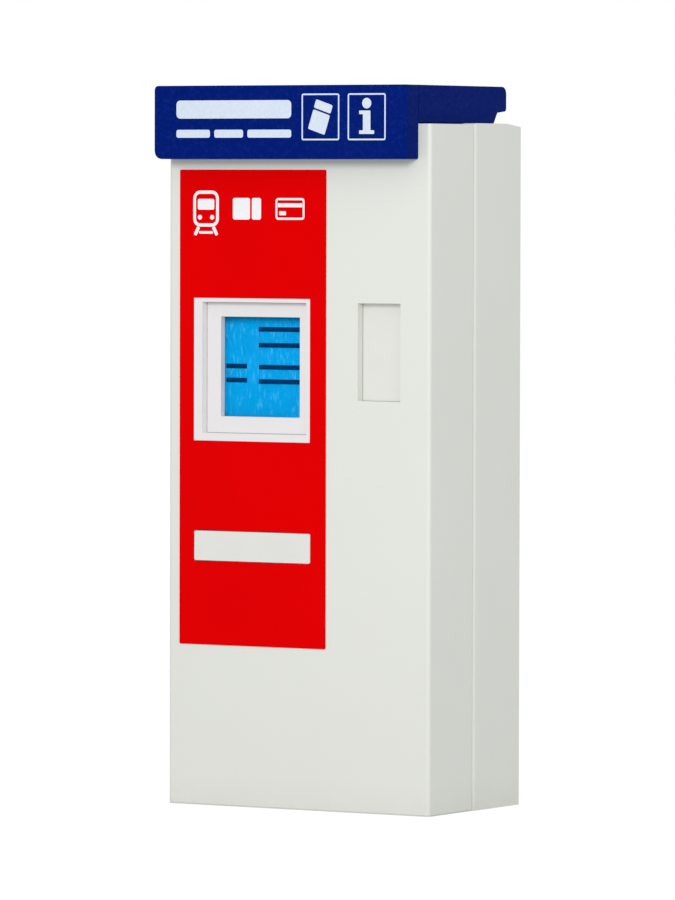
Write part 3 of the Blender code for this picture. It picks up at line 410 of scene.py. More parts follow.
def add_block(bm, place, size):
    """A plain block that is centred on a place."""
    return bmesh.ops.create_cube(bm, size=1.0, matrix=Matrix.LocRotScale(place, None, size))["verts"]


seal = mottled(
    "seal_rubber",
    colours=((190, 191, 187), (176, 177, 173)),
    sizes=(0.03, 0.003, 0.0009),
    rough=(0.72, 0.9),
    relief=(0.00008, 0.8),
    specular=0.2,
)
seal_low, seal_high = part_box("door_gasket")
seal_edge, seal_width, hairline = 0.0005, 0.008, 0.0002
leg_foot, leg_top = 0.009, seal_low.z - hairline
seal_ring = rounded_copy("door_gasket", seal_edge)
leg_size = (seal_width, seal_high.y - seal_low.y, leg_top - leg_foot)
for outer_edge, inwards in ((seal_low.x, 1), (seal_high.x, -1)):
    leg_x = outer_edge + inwards * seal_width / 2
    add_block(seal_ring, (leg_x, (seal_low.y + seal_high.y) / 2, (leg_foot + leg_top) / 2), leg_size)
add_piece("seal_ring", seal_ring, seal, "cabinet", "grey_rubber", "door_gasket")

# Roof canopy: a hollow cap over cabinet and door with a stepped drip edge at the back.
# One moulding in dark blue with a satin grain, screwed down from inside the cabinet.


def blue_gloss(name, colour, roughness):
    blue = Finish(name, colour, specular=0.012)
    blue.tint(blue.spread(blue.noise(0.25, detail=4.0), 0.0, 0.5), (6, 32, 114))
    blue.tint(blue.spread(blue.noise(0.009, detail=3.0), 0.0, 0.3, 0.5, 0.75), (30, 56, 140))
    blue.roughen(blue.noise(0.02), roughness - 0.06, roughness + 0.08)
    blue.bump(blue.noise(0.0016, detail=2.0), 0.00005, 0.5)
    return blue


blue_moulding = blue_gloss("blue_moulding", (1, 25, 104), roughness=0.42)
dress("canopy", "roof_canopy", blue_moulding, "cabinet", "blue_moulding", edge=0.0022, segments=3)

# Hinges: three lift-off pairs on the left side, the pin half on the cabinet and the other on the door.
# Steel turned and welded to leaves, zinc plated. Two low socket screws hold each leaf.

brass = Finish("turned_brass", (216, 184, 122), metallic=1.0)
brass.tint(brass.noise(0.004), (196, 160, 98))
brass.roughen(brass.noise(0.001, drawn=(8, 8, 1)), 0.24, 0.42)
brass.bump(brass.noise(0.0006, drawn=(10, 10, 1)), 0.00003, 0.5)
leaf_height, leaf_face = 0.040, -0.4263
leaf_screw_radius, leaf_screw_height = 0.0042, 0.0016
leaf_screw_edge, leaf_screw_setback = 0.010, 0.014
for place in ("lower", "middle", "upper"):
    for half, body in (("pin_half", "cabinet"), ("door_half", "door")):
        node = f"hinge_{half}_{place}"
        low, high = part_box(node)
        dress(f"{half}_{place}", node, zinc, body, "zinc_steel", edge=0.0007)
        leaf_end, inwards = (high.y, -1) if half == "pin_half" else (low.y, 1)
        y = leaf_end + inwards * leaf_screw_setback
        levels = (low.z + leaf_screw_edge, low.z + leaf_height - leaf_screw_edge)
        seats = [(leaf_face, y, z) for z in levels]
        screw_pair = f"{half}_screws_{place}"
        add_screws(screw_pair, seats, (-1, 0, 0), leaf_screw_radius, leaf_screw_height, body)
    dress(f"washer_{place}", f"hinge_washer_{place}", brass, "cabinet", "brass", edge=0.0003)

# Equipment plate and printer shelf with its gussets: what the works inside stand on.
# Zinc-plated sheet, guillotined and folded, bolted through to the cabinet's back.

plate_low, plate_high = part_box("equipment_plate")
plate_bolt_edge, plate_bolt_count = 0.022, 5
plate_washer, plate_head = (0.009, 0.0015), (0.0062, 0.005)
plate_bolts = bmesh.new()
for x in (plate_low.x + plate_bolt_edge, plate_high.x - plate_bolt_edge):
    for z in spaced(plate_low.z + plate_bolt_edge, plate_high.z - plate_bolt_edge, plate_bolt_count):
        add_bolt(plate_bolts, (x, plate_low.y, z), (0, -1, 0), plate_washer, plate_head)
add_piece("plate_bolts", plate_bolts, bright, "cabinet", "bright_steel")
for node in ("equipment_plate", "printer_shelf"):
    dress(f"folded_{node}", node, zinc, "cabinet", "zinc_steel", edge=0.0006)

# Ticket printer: side frame, paper roll on a spindle, paper, platen roller, print head and cutter.
# Plated sheet and turned steel, white ticket stock on a card core, and a rubber-covered roller.

dress("printer_sides", "printer_frame", zinc, "cabinet", "zinc_steel", edge=0.0006)
dress("spindle", "roll_spindle", bright, "cabinet", "zinc_steel", edge=0.001)
dress("cutter_bar", "ticket_cutter", bright, "cabinet", "zinc_steel", edge=0.0004)


def spun_tube(centre, span, inner, outer, edge, steps):
    """A tube along X, turned from its section, with its four rims rounded."""
    bm = bmesh.new()
    section = [(span[0], inner), (span[1], inner), (span[1], outer), (span[0], outer)]
    verts = [bm.verts.new((x, centre[0], centre[1] + radius)) for x, radius in section]
    edges = [bm.edges.new((verts[i - 1], verts[i])) for i in range(len(verts))]
    bmesh.ops.spin(
        bm,
        geom=verts + edges,
        cent=(0, *centre),
        axis=(1, 0, 0),
        angle=2 * math.pi,
        steps=steps,
        use_merge=True,
    )
    bmesh.ops.remove_doubles(bm, verts=bm.verts, dist=same_place)
    bmesh.ops.recalc_face_normals(bm, faces=bm.faces)
    round_off(bm, sharp_edges(bm), edge)
    return bm


roll_low, roll_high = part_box("paper_roll")
roll_centre = ((roll_low.y + roll_high.y) / 2, (roll_low.z + roll_high.z) / 2)
roll_radius = (roll_high.z - roll_low.z) / 2
roll_span = (roll_low.x, roll_high.x)
core_inner, core_outer, core_proud = 0.0131, 0.0156, 0.0012


def wound_layers(finish, pitch, centre):
    """Rings round a line along X, as the layers on the end of a roll."""
    wave_period = math.pi / 10
    vector = finish.mapped([wave_period / pitch] * 3, centre)
    wave = finish.add("TexWave", {"Scale": 1.0, "Distortion": 0.6}, {"Vector": vector})
    wave.wave_type = "RINGS"
    wave.rings_direction = "X"
    return wave.outputs["Fac"]


stock = Finish("ticket_stock", (236, 233, 224), specular=0.2)
layers = wound_layers(stock, 0.0012, (0, *roll_centre))
stock.tint(stock.spread(layers, 0.0, 0.5, 0.0, 1.0), (208, 203, 190))
stock.roughen(stock.noise(0.002), 0.78, 0.92)
stock.bump(layers, 0.0002, 0.5)
stock.bump(stock.noise(0.0006, drawn=(6, 1, 1)), 0.00006, 0.6)
wound = spun_tube(roll_centre, roll_span, core_outer, roll_radius, edge=0.0008, steps=96)
add_piece("wound_paper", wound, stock, "roll", "paper", "paper_roll")

card = Finish("grey_card", (150, 128, 98), specular=0.2)
card.tint(card.noise(0.004, drawn=(5, 1, 1)), (128, 106, 80))
card.roughen(card.noise(0.002), 0.82, 0.95)
card.bump(card.noise(0.0008, drawn=(6, 1, 1)), 0.00008)
core_span = (roll_span[0] - core_proud, roll_span[1] + core_proud)
core = spun_tube(roll_centre, core_span, core_inner, core_outer, edge=0.0004, steps=64)
add_piece("card_core", core, card, "roll", "paper")

strip = Finish("ticket_strip", (238, 236, 229), specular=0.2)
strip.tint(strip.noise(0.003, drawn=(1, 5, 1)), (226, 223, 213))
strip.roughen(strip.noise(0.002), 0.72, 0.88)
strip.bump(strip.noise(0.0006, drawn=(1, 6, 1)), 0.00005, 0.6)
paper_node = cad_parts["ticket_paper"]
paper_node.data.materials.clear()
paper_node.data.materials.append(strip.material)

roller_rubber = Finish("roller_rubber", (62, 62, 64), specular=0.25)
roller_rubber.tint(roller_rubber.noise(0.01), (78, 78, 80))
roller_rubber.roughen(roller_rubber.noise(0.002), 0.62, 0.82)
roller_rubber.bump(roller_rubber.noise(0.0006, drawn=(1, 6, 6)), 0.00005, 0.7)
platen_low, platen_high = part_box("platen_roller")
platen_centre = ((platen_low.y + platen_high.y) / 2, (platen_low.z + platen_high.z) / 2)
platen_radius = (platen_high.z - platen_low.z) / 2
sleeve_bore, shaft_radius, shaft_bore = 0.003, 0.00298, 0.0008
sleeve = spun_tube(platen_centre, roll_span, sleeve_bore, platen_radius, edge=0.0006, steps=48)
add_piece("platen_sleeve", sleeve, roller_rubber, "platen", "grey_rubber", "platen_roller")
shaft_span = (platen_low.x, platen_high.x)
shaft = spun_tube(platen_centre, shaft_span, shaft_bore, shaft_radius, edge=0.0004, steps=32)
add_piece("platen_shaft", shaft, bright, "platen", "bright_steel")

dress("print_bar", "print_head", nylon, "cabinet", "black_plastic", edge=0.0008)
head_low, head_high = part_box("print_head")
fin_count, fin_margin, fin_setback = 14, 0.006, 0.0015
fin_sheet, fin_height, fin_edge = 0.0018, 0.012, 0.0004
fin_y, fin_z = (head_low.y + head_high.y) / 2, head_high.z + fin_height / 2
fin_size = (fin_sheet, head_high.y - head_low.y - 2 * fin_setback, fin_height)
fins = bmesh.new()
for x in spaced(head_low.x + fin_margin, head_high.x - fin_margin, fin_count):
    add_block(fins, (x, fin_y, fin_z), fin_size)
round_off(fins, sharp_edges(fins), fin_edge)
add_piece("print_head_fins", fins, zinc, "cabinet", "zinc_steel")

# Controller, power supply, modem and mains box: sheet boxes on the equipment plate.
# Folded plated steel or black moulding, with pressed louvres, cable sockets and screwed covers.
# The controller has a fan in its cover, and the mains box a lever switch.


def add_box(node, finish, slot, edge, louvres, body="cabinet", out=-1, screw_edge=0.012):
    """A box with screws in the cover that faces out along Y, and with pressed louvres.

    Each block of louvres is given as (centre x, centre z, rows, length).
    """
    screw_radius, screw_height = 0.0045, 0.0022
    pitch, louvre_height, louvre_depth, lip_droop = 0.011, 0.0055, 0.0032, 0.0016
    least_fold, fold, fold_segments = 40, 0.0014, 3
    low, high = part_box(node)
    cover = low.y if out < 0 else high.y
    dress(f"{node}_case", node, finish, body, slot, edge, segments=3)
    columns = (low.x + screw_edge, high.x - screw_edge)
    levels = (low.z + screw_edge, high.z - screw_edge)
    seats = [(x, cover, z) for x in columns for z in levels]
    add_screws(f"{node}_screws", seats, (0, out, 0), screw_radius, screw_height, body)
    if not louvres:
        return
    pressed = bmesh.new()
    for x, z, rows, length in louvres:
        for i in range(rows):
            place = (x, cover, z + (i - (rows - 1) / 2) * pitch)
            add_block(pressed, place, (length, 2 * louvre_depth, louvre_height))
    lip = [v for v in pressed.verts if (v.co.y - cover) * out > 0]
    bmesh.ops.translate(pressed, vec=(0, 0, -lip_droop), verts=lip)
    round_off(pressed, sharp_edges(pressed, least_fold), fold, fold_segments)
    add_piece(f"{node}_louvres", pressed, finish, body, slot)


def add_sockets(name, places, size, body="cabinet", out=-1):
    """Cable sockets on a cover: black shells with a hollow mouth that faces out along Y."""
    depth, height = size[1:]
    shell, taper, worn_edge = height * 0.14, height * 0.03, height * 0.03
    hollow = depth * 0.8
    sockets = bmesh.new()
    for x, y, z in places:
        verts = add_block(sockets, (x, y + out * depth / 2, z), size)
        mouth = outer_face(verts, Vector((0, out, 0)))
        bmesh.ops.inset_region(sockets, faces=[mouth], thickness=shell)
        bmesh.ops.inset_region(sockets, faces=[mouth], thickness=taper, depth=-hollow)
    round_off(sockets, sharp_edges(sockets), worn_edge)
    add_piece(name, sockets, nylon, body, "black_plastic")


controller_louvres = [(0.0, 1.300, 6, 0.070), (0.180, 1.300, 6, 0.070), (0.185, 1.470, 6, 0.060)]
add_box("controller_box", zinc, "zinc_steel", 0.0015, controller_louvres)
controller_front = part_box("controller_box")[0].y
controller_columns, controller_level = (-0.018, 0.018, 0.054, 0.090), 1.490
controller_places = [(x, controller_front, controller_level) for x in controller_columns]
add_sockets("controller_sockets", controller_places, size=(0.028, 0.010, 0.016))

supply_louvres = [(-0.190, 0.500, 6, 0.150)]
add_box("power_supply", zinc, "zinc_steel", 0.0015, supply_louvres)
supply_low, supply_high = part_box("power_supply")
supply_middle = (supply_low.x + supply_high.x) / 2
terminal_count, terminal_pitch, terminal_level = 8, 0.018, supply_low.z + 0.036
terminal_height, bar_depth, rib_depth = 0.026, 0.010, 0.016
rib_width, terminal_edge = 0.0022, 0.0005
terminal_screw_radius, terminal_screw_height = 0.0050, 0.0030
strip_length = terminal_count * terminal_pitch
bar_size, rib_size = (strip_length, bar_depth, terminal_height), (rib_width, rib_depth, terminal_height)
terminal_strip, terminal_screws = bmesh.new(), bmesh.new()
add_block(terminal_strip, (supply_middle, supply_low.y - bar_depth / 2, terminal_level), bar_size)
for i in range(terminal_count + 1):
    rib_x = supply_middle + (i - terminal_count / 2) * terminal_pitch
    add_block(terminal_strip, (rib_x, supply_low.y - rib_depth / 2, terminal_level), rib_size)
    if i < terminal_count:
        seat = (rib_x + terminal_pitch / 2, supply_low.y - bar_depth, terminal_level)
        add_fastener(terminal_screws, seat, (0, -1, 0), terminal_screw_radius, terminal_screw_height)
round_off(terminal_strip, sharp_edges(terminal_strip), terminal_edge)
add_piece("supply_terminals", terminal_strip, nylon, "cabinet", "black_plastic")
add_piece("supply_terminal_screws", terminal_screws, brass, "cabinet", "brass")

modem_louvres = [(-0.230, 1.405, 4, 0.090)]
add_box("modem_box", nylon, "black_plastic", 0.004, modem_louvres)
modem_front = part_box("modem_box")[0].y
modem_columns, aerial_x, modem_level = (-0.262, -0.236), -0.200, 1.346
modem_places = [(x, modem_front, modem_level) for x in modem_columns]
add_sockets("modem_sockets", modem_places, size=(0.019, 0.008, 0.015))
aerial_nut, aerial_thread = (0.0060, 0.0030), (0.0034, 0.0090)
nut_height = aerial_nut[1]
aerial = bmesh.new()
add_fastener(aerial, (aerial_x, modem_front, modem_level), (0, -1, 0), *aerial_nut, sides=hexagon)
add_fastener(aerial, (aerial_x, modem_front - nut_height, modem_level), (0, -1, 0), *aerial_thread)
add_piece("modem_aerial_socket", aerial, brass, "cabinet", "brass")

add_box("mains_box", pale_coat, "pale_paint", 0.004, louvres=[])

fan_low, fan_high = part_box("fan_housing")
fan_x, fan_z = (fan_low.x + fan_high.x) / 2, (fan_low.z + fan_high.z) / 2
dress("fan_frame", "fan_housing", nylon, "cabinet", "black_plastic", edge=0.0008)
fan_screw_reach, fan_screw_radius, fan_screw_height = 0.0355, 0.0032, 0.0018
fan_columns, fan_levels = ((at - fan_screw_reach, at + fan_screw_reach) for at in (fan_x, fan_z))
fan_seats = [(x, fan_low.y, z) for x in fan_columns for z in fan_levels]
add_screws("fan_screws", fan_seats, (0, -1, 0), fan_screw_radius, fan_screw_height)

rotor_low, rotor_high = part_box("fan_rotor")
hub_radius, hub_edge, hub_sides = 0.0165, 0.0022, 48
rotor_place = Matrix.Translation((fan_x, (rotor_low.y + rotor_high.y) / 2, fan_z))
rotor = bmesh.new()
bmesh.ops.create_cone(
    rotor,
    cap_ends=True,
    segments=hub_sides,
    radius1=hub_radius,
    radius2=hub_radius,
    depth=rotor_high.y - rotor_low.y,
    matrix=rotor_place @ Matrix.Rotation(math.pi / 2, 4, "X"),
)
round_off(rotor, sharp_edges(rotor), hub_edge, segments=3)
blade_count, blade_root, blade_tip = 7, hub_radius * 0.9, 0.0345
blade_sheet, blade_chord, root_pitch, tip_pitch = 0.0012, 0.015, 52, 30
for i in range(blade_count):
    blade = bmesh.new()
    bmesh.ops.create_grid(blade, x_segments=6, y_segments=4, size=0.5)
    for vert in blade.verts:
        along = vert.co.x + 0.5
        pitch = math.radians(root_pitch + (tip_pitch - root_pitch) * along)
        chord = vert.co.y * blade_chord
        reach = blade_root + along * (blade_tip - blade_root)
        vert.co = (reach, -chord * math.sin(pitch), chord * math.cos(pitch))
    bmesh.ops.solidify(blade, geom=blade.faces, thickness=blade_sheet)
    bmesh.ops.recalc_face_normals(blade, faces=blade.faces)
    turn = Matrix.Rotation(2 * math.pi * i / blade_count, 4, "Y")
    blade.transform(rotor_place @ turn)
    held = bpy.data.meshes.new("fan_blade")
    blade.to_mesh(held)
    blade.free()
    rotor.from_mesh(held)
    bpy.data.meshes.remove(held)
add_piece("fan_wheel", rotor, nylon, "fan", "black_plastic", "fan_rotor", crease=50)
dress("mains_lever", "mains_switch", nylon, "switch", "black_plastic", edge=0.0006)

# Door skin: the whole front half of the body, folded from one sheet with a shelf near the floor.
# Sheet steel under the same powder coat, with soft folded corners and laser-cut openings.
# A strip of pale rubber under its edge sweeps the floor.

dress("door_skin", "door_shell", pale_coat, "door", "pale_paint", edge=0.0007)

sweep_rubber = mottled(
    "sweep_rubber",
    colours=((214, 215, 210), (202, 203, 197)),
    sizes=(0.04, 0.004, 0.001),
    rough=(0.68, 0.84),
    relief=(0.00006, 0.7),
    specular=0.2,
)
door_low, door_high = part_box("door_shell")
sweep_inset, sweep_thickness, sweep_clear = 0.0004, 0.0022, 0.0010
sweep_corner, sweep_segments = 0.011, 6
sweep_left, sweep_right = door_low.x + sweep_inset, door_high.x - sweep_inset
sweep_front, sweep_rear = door_low.y + sweep_inset, door_high.y
sweep_lines = ((sweep_left, sweep_rear, sweep_front), (sweep_right, sweep_front, sweep_rear))
sweep = bmesh.new()
path = [sweep.verts.new((x, y, sweep_clear)) for x, *ends in sweep_lines for y in ends]
strip_edges = [sweep.edges.new(pair) for pair in zip(path, path[1:])]
raised = bmesh.ops.extrude_edge_only(sweep, edges=strip_edges)["geom"]
raised_verts = [g for g in raised if isinstance(g, bmesh.types.BMVert)]
bmesh.ops.translate(sweep, vec=(0, 0, door_low.z - sweep_clear - hairline), verts=raised_verts)
bmesh.ops.recalc_face_normals(sweep, faces=sweep.faces)
if min(sweep.faces, key=lambda face: face.calc_center_median().y).normal.y > 0:
    bmesh.ops.reverse_faces(sweep, faces=sweep.faces)
round_off(sweep, sharp_edges(sweep), sweep_corner, sweep_segments)
bmesh.ops.solidify(sweep, geom=sweep.faces, thickness=sweep_thickness)
add_piece("door_sweep", sweep, sweep_rubber, "door", "grey_rubber")

# Red fascia: a thin panel on the left of the door with openings for the screen and the ticket flap.
# Sheet in a bright red satin enamel, bonded to the door, with its picture signs printed in white.

red_enamel = Finish("red_enamel", (229, 0, 2), specular=0.012)
red_enamel.tint(red_enamel.spread(red_enamel.noise(0.3, detail=2.0), 0.0, 0.5), (218, 0, 4))
red_enamel.roughen(red_enamel.noise(0.05), 0.34, 0.48)
red_enamel.bump(red_enamel.noise(0.002, detail=2.0), 0.00004, 0.45)
dress("fascia_panel", "red_fascia", red_enamel, "door", "red_panel", edge=0.0004)


def add_patch(bm, centre, size, radius=0.0, turn=0.0):
    """A flat rounded rectangle in the plane that a print is laid out in."""
    over, up = size[0] / 2, size[1] / 2
    at = Matrix.Translation((*centre, 0)) @ Matrix.Rotation(math.radians(turn), 4, "Z")
    corners = [(-over, -up), (over, -up), (over, up), (-over, up)]
    verts = [bm.verts.new(at @ Vector((x, y, 0))) for x, y in corners]
    face = bm.faces.new(verts)
    if radius:
        rounded = bmesh.ops.bevel(
            bm, geom=verts, offset=radius, segments=6, profile=0.5, affect="VERTICES", material=-1
        )
        face = rounded["verts"][0].link_faces[0]
    return face


def add_frame(bm, centre, size, line, radius):
    """A rounded outline of even width, in the plane that a print is laid out in."""
    face = add_patch(bm, centre, size, radius)
    bmesh.ops.inset_region(bm, faces=[face], thickness=line, use_boundary=True, use_even_offset=True)
    bmesh.ops.delete(bm, geom=[face], context="FACES")


def add_disc(bm, centre, radius):
    bmesh.ops.create_circle(
        bm, cap_ends=True, segments=40, radius=radius, matrix=Matrix.Translation((*centre, 0))
    )


def lay_print(name, bm, finish, slot, surface, thickness=0.00022):
    """Raises a laid-out print to its film thickness and turns it upright on a front of the door."""
    bmesh.ops.recalc_face_normals(bm, faces=bm.faces)
    downwards = [f for f in bm.faces if f.normal.z < 0]
    bmesh.ops.reverse_faces(bm, faces=downwards)
    pushed = bmesh.ops.extrude_face_region(bm, geom=list(bm.faces), use_keep_orig=True)["geom"]
    raised = [g for g in pushed if isinstance(g, bmesh.types.BMVert)]
    bmesh.ops.translate(bm, vec=(0, 0, thickness), verts=raised)
    bmesh.ops.recalc_face_normals(bm, faces=bm.faces)
    bm.transform(Matrix.Translation((0, surface, 0)) @ Matrix.Rotation(math.pi / 2, 4, "X"))
    add_piece(name, bm, finish, "door", slot)


white_ink = mottled(
    "white_print",
    colours=((246, 247, 248), (232, 234, 238)),
    sizes=(0.01, 0.003, 0.0009),
    rough=(0.42, 0.6),
    relief=(0.00003, 0.5),
    specular=0.25,
    share=0.4,
    detail=5.0,
)

fascia_print = bmesh.new()
train_x, pass_x, card_x, signs_z = -0.300, -0.166, -0.026, 1.660
train_size, train_line, train_corner = (0.084, 0.100), 0.009, 0.022
window_size, window_rise, window_corner = (0.054, 0.030), 0.012, 0.005
headlamp_reach, headlamp_drop, headlamp_radius = 0.020, 0.024, 0.0068
rail_reach, rail_drop, rail_size, rail_lean = 0.030, 0.062, (0.010, 0.026), 28
sleeper_drop, sleeper_size, track_corner = 0.066, (0.046, 0.007), 0.003
add_frame(fascia_print, (train_x, signs_z), train_size, train_line, train_corner)
add_patch(fascia_print, (train_x, signs_z + window_rise), window_size, window_corner)
for side in (-1, 1):
    headlamp = (train_x + side * headlamp_reach, signs_z - headlamp_drop)
    add_disc(fascia_print, headlamp, headlamp_radius)
    rail = (train_x + side * rail_reach, signs_z - rail_drop)
    add_patch(fascia_print, rail, rail_size, track_corner, side * rail_lean)
add_patch(fascia_print, (train_x, signs_z - sleeper_drop), sleeper_size, track_corner)

pass_height, pass_corner, pass_parts = 0.060, 0.006, ((-0.018, 0.056), (0.031, 0.030))
for offset, width in pass_parts:
    add_patch(fascia_print, (pass_x + offset, signs_z), (width, pass_height), pass_corner)

card_size, card_line, card_corner = (0.094, 0.060), 0.006, 0.009
stripe_rise, stripe_size = 0.010, (0.079, 0.011)
chip_offset, chip_drop, chip_size, chip_corner = -0.024, 0.012, (0.022, 0.011), 0.002
add_frame(fascia_print, (card_x, signs_z), card_size, card_line, card_corner)
add_patch(fascia_print, (card_x, signs_z + stripe_rise), stripe_size)
add_patch(fascia_print, (card_x + chip_offset, signs_z - chip_drop), chip_size, chip_corner)
fascia_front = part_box("red_fascia")[0].y
lay_print("fascia_print", fascia_print, white_ink, "white_plastic", fascia_front)

# Sign header: a shallow box bolted to the door above the fascia, with a light panel and a face.
# Blue moulded box and blue acrylic face, with two white picture signs and plain bars printed on it.

dress("sign_case", "sign_box", blue_moulding, "door", "blue_moulding", edge=0.0006)
blue_acrylic = blue_gloss("blue_acrylic", (1, 26, 112), roughness=0.32)
dress("sign_panel", "sign_face", blue_acrylic, "door", "blue_face", edge=0.0009, segments=3)
diffuser = Finish("light_diffuser", (240, 241, 243), specular=0.3)
diffuser.tint(diffuser.noise(0.02), (228, 230, 234))
diffuser.roughen(diffuser.noise(0.004), 0.5, 0.7)
diffuser.bump(diffuser.cells(0.003), 0.00015, 0.6)
dress("sign_lamp", "sign_light", diffuser, "door", "light_panel", edge=0.0008)
for number in (1, 2):
    dress(f"sign_fixing_{number}", f"sign_bolt_{number}", bright, "door", "bright_steel", edge=0.0004)

sign_low, sign_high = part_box("sign_face")
sign_print = bmesh.new()
print_left = sign_low.x + 0.0725
headline_size, headline_level, headline_corner = (0.374, 0.050), sign_low.z + 0.137, 0.012
headline_middle = (print_left + headline_size[0] / 2, headline_level)
add_patch(sign_print, headline_middle, headline_size, headline_corner)
bar_lengths, bar_gap = (0.110, 0.094, 0.142), 0.014
bar_height, bar_level, bar_corner = 0.022, sign_low.z + 0.070, 0.006
bar_start = print_left
for length in bar_lengths:
    add_patch(sign_print, (bar_start + length / 2, bar_level), (length, bar_height), bar_corner)
    bar_start += length + bar_gap

ticket_x, info_x, picture_z = sign_high.x - 0.2745, sign_high.x - 0.1265, sign_low.z + 0.1155
picture_size, picture_line, picture_corner = (0.121, 0.128), 0.0042, 0.006
for x in (ticket_x, info_x):
    add_frame(sign_print, (x, picture_z), picture_size, picture_line, picture_corner)
ticket_turn, ticket_corner = -18, 0.004
slip_size, stub_size, perforation, slip_level = (0.056, 0.056), (0.056, 0.024), 0.005, -0.015
stub_level = slip_level + (slip_size[1] + stub_size[1]) / 2 + perforation
lean = Matrix.Rotation(math.radians(ticket_turn), 2)
for size, level in ((slip_size, slip_level), (stub_size, stub_level)):
    middle = Vector((ticket_x, picture_z)) + lean @ Vector((0, level))
    add_patch(sign_print, middle, size, ticket_corner, ticket_turn)
dot_rise, dot_radius = 0.037, 0.0145
serif_height, serif_corner, foot_width, cap_width, cap_offset = 0.010, 0.002, 0.048, 0.036, -0.006
stem_size, foot_level = (0.024, 0.044), picture_z - 0.042
stem_level = foot_level + (serif_height + stem_size[1]) / 2
cap_level = stem_level + (stem_size[1] + serif_height) / 2
add_disc(sign_print, (info_x, picture_z + dot_rise), dot_radius)
add_patch(sign_print, (info_x, foot_level), (foot_width, serif_height), serif_corner)
add_patch(sign_print, (info_x, stem_level), stem_size)
add_patch(sign_print, (info_x + cap_offset, cap_level), (cap_width, serif_height), serif_corner)
sign_ink = mottled(
    "sign_print_ink",
    colours=((219, 230, 243), (198, 213, 233)),
    sizes=(0.008, 0.003, 0.0009),
    rough=(0.42, 0.6),
    relief=(0.00003, 0.5),
    specular=0.25,
    share=0.5,
    detail=5.0,
)
lay_print("sign_print", sign_print, sign_ink, "white_plastic", sign_low.y)

# Screen: a surround in the door, a mask behind it, the touch glass, the lit panel and its housing.
# Two white mouldings with a fine grain, hardened glass, and a folded steel cover at the back.
# A thin grey rubber strip seals the mask to the surround, and its dark line is painted shade in the step's
# inner corner.

grained_white = mottled(
    "grained_white",
    colours=((234, 232, 233), (228, 227, 226)),
    sizes=(0.15, 0.01, 0.0009),
    rough=(0.44, 0.58),
    relief=(0.00005, 0.6),
    specular=0.2,
    share=0.4,
)


def moulded_frame(section, edge, segments=3):
    """A rectangular frame. Its section is a closed run of (left, right, low, high) loops at depths."""
    least_corner = 40
    bm = bmesh.new()
    (left, right, low, high), y = section[0]
    ring = [bm.verts.new(at) for at in ((left, y, low), (right, y, low), (right, y, high), (left, y, high))]
    edges = [bm.edges.new((ring[i - 1], ring[i])) for i in range(len(ring))]
    middle = Vector(((left + right) / 2, 0, (low + high) / 2))
    for (left, right, low, high), y in section[1:] + section[:1]:
        made = bmesh.ops.extrude_edge_only(bm, edges=edges)["geom"]
        ring = [g for g in made if isinstance(g, bmesh.types.BMVert)]
        edges = [g for g in made if isinstance(g, bmesh.types.BMEdge) and set(g.verts) <= set(ring)]
        for vert in ring:
            x = left if vert.co.x < middle.x else right
            z = low if vert.co.z < middle.z else high
            vert.co = (x, y, z)
    bmesh.ops.remove_doubles(bm, verts=bm.verts, dist=same_place)
    bmesh.ops.recalc_face_normals(bm, faces=bm.faces)
    round_off(bm, sharp_edges(bm, least_corner), edge, segments)
    return bm


def front_outline(node):
    low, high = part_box(node)
    return low.x, high.x, low.z, high.z


def shrunk(outline, by):
    left, right, low, high = outline
    return left + by, right - by, low + by, high - by


def flanged_frame(border, opening, collar, depths, edge):
    """A front plate with an opening and a collar behind it. Depths: front, plate's back, collar's end."""
    plate_front, plate_back, collar_end = depths
    section = [
        (border, plate_front),
        (opening, plate_front),
        (opening, collar_end),
        (collar, collar_end),
        (collar, plate_back),
        (border, plate_back),
    ]
    return moulded_frame(section, edge)


collar_wall, surround_plate, mask_plate, glass_overlap = 0.0025, 0.0015, 0.003, 0.012
surround_low, surround_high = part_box("screen_surround")
step = shrunk(front_outline("screen_mask"), collar_wall)
surround = flanged_frame(
    front_outline("screen_surround"),
    step,
    shrunk(step, -collar_wall),
    (surround_low.y, surround_low.y + surround_plate, surround_high.y),
    edge=0.0006,
)
add_piece("surround_moulding", surround, grained_white, "door", "white_plastic", "screen_surround")

mask_low, mask_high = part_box("screen_mask")
screen_opening = shrunk(front_outline("touch_glass"), glass_overlap)
mask = flanged_frame(
    front_outline("screen_mask"),
    screen_opening,
    shrunk(screen_opening, -collar_wall),
    (mask_low.y, mask_low.y + mask_plate, mask_high.y),
    edge=0.0009,
)
add_piece("mask_moulding", mask, grained_white, "door", "white_plastic", "screen_mask")

# Painted shade: a mid-grey rubber laid round the inner corners of the screen step and the payment recess to
# darken them.
painted_shade_rubber = mottled(
    "painted_shade_rubber",
    colours=((160, 161, 158), (146, 147, 144)),
    sizes=(0.01, 0.003, 0.0008),
    rough=(0.72, 0.88),
    relief=(0.00005, 0.7),
    specular=0.2,
)


def add_shade_line(name, outline, floor):
    """A thin grey rubber strip round the edge of a floor in the front, whose dark line is painted shade in
    the corner.
    """
    width, proud, worn_edge = 0.0013, 0.0003, 0.00005
    inner = shrunk(outline, width)
    section = [(outline, floor - proud), (inner, floor - proud), (inner, floor), (outline, floor)]
    add_piece(name, moulded_frame(section, worn_edge, 1), painted_shade_rubber, "door", "grey_rubber")


# Painted shade in the screen step's inner corner, as a grey strip round the mask's edge.
add_shade_line("screen_shade_line", shrunk(step, hairline), mask_low.y)

glass = Finish("touch_glass_coated", (250, 253, 255), specular=0.5)
glass.set("Transmission Weight", 1.0)
glass.set("IOR", 1.06)
glass.roughen(glass.noise(0.03, detail=5.0), 0.02, 0.07)
dress("touch_pane", "touch_glass", glass, "door", "screen_glass", edge=0.0006)

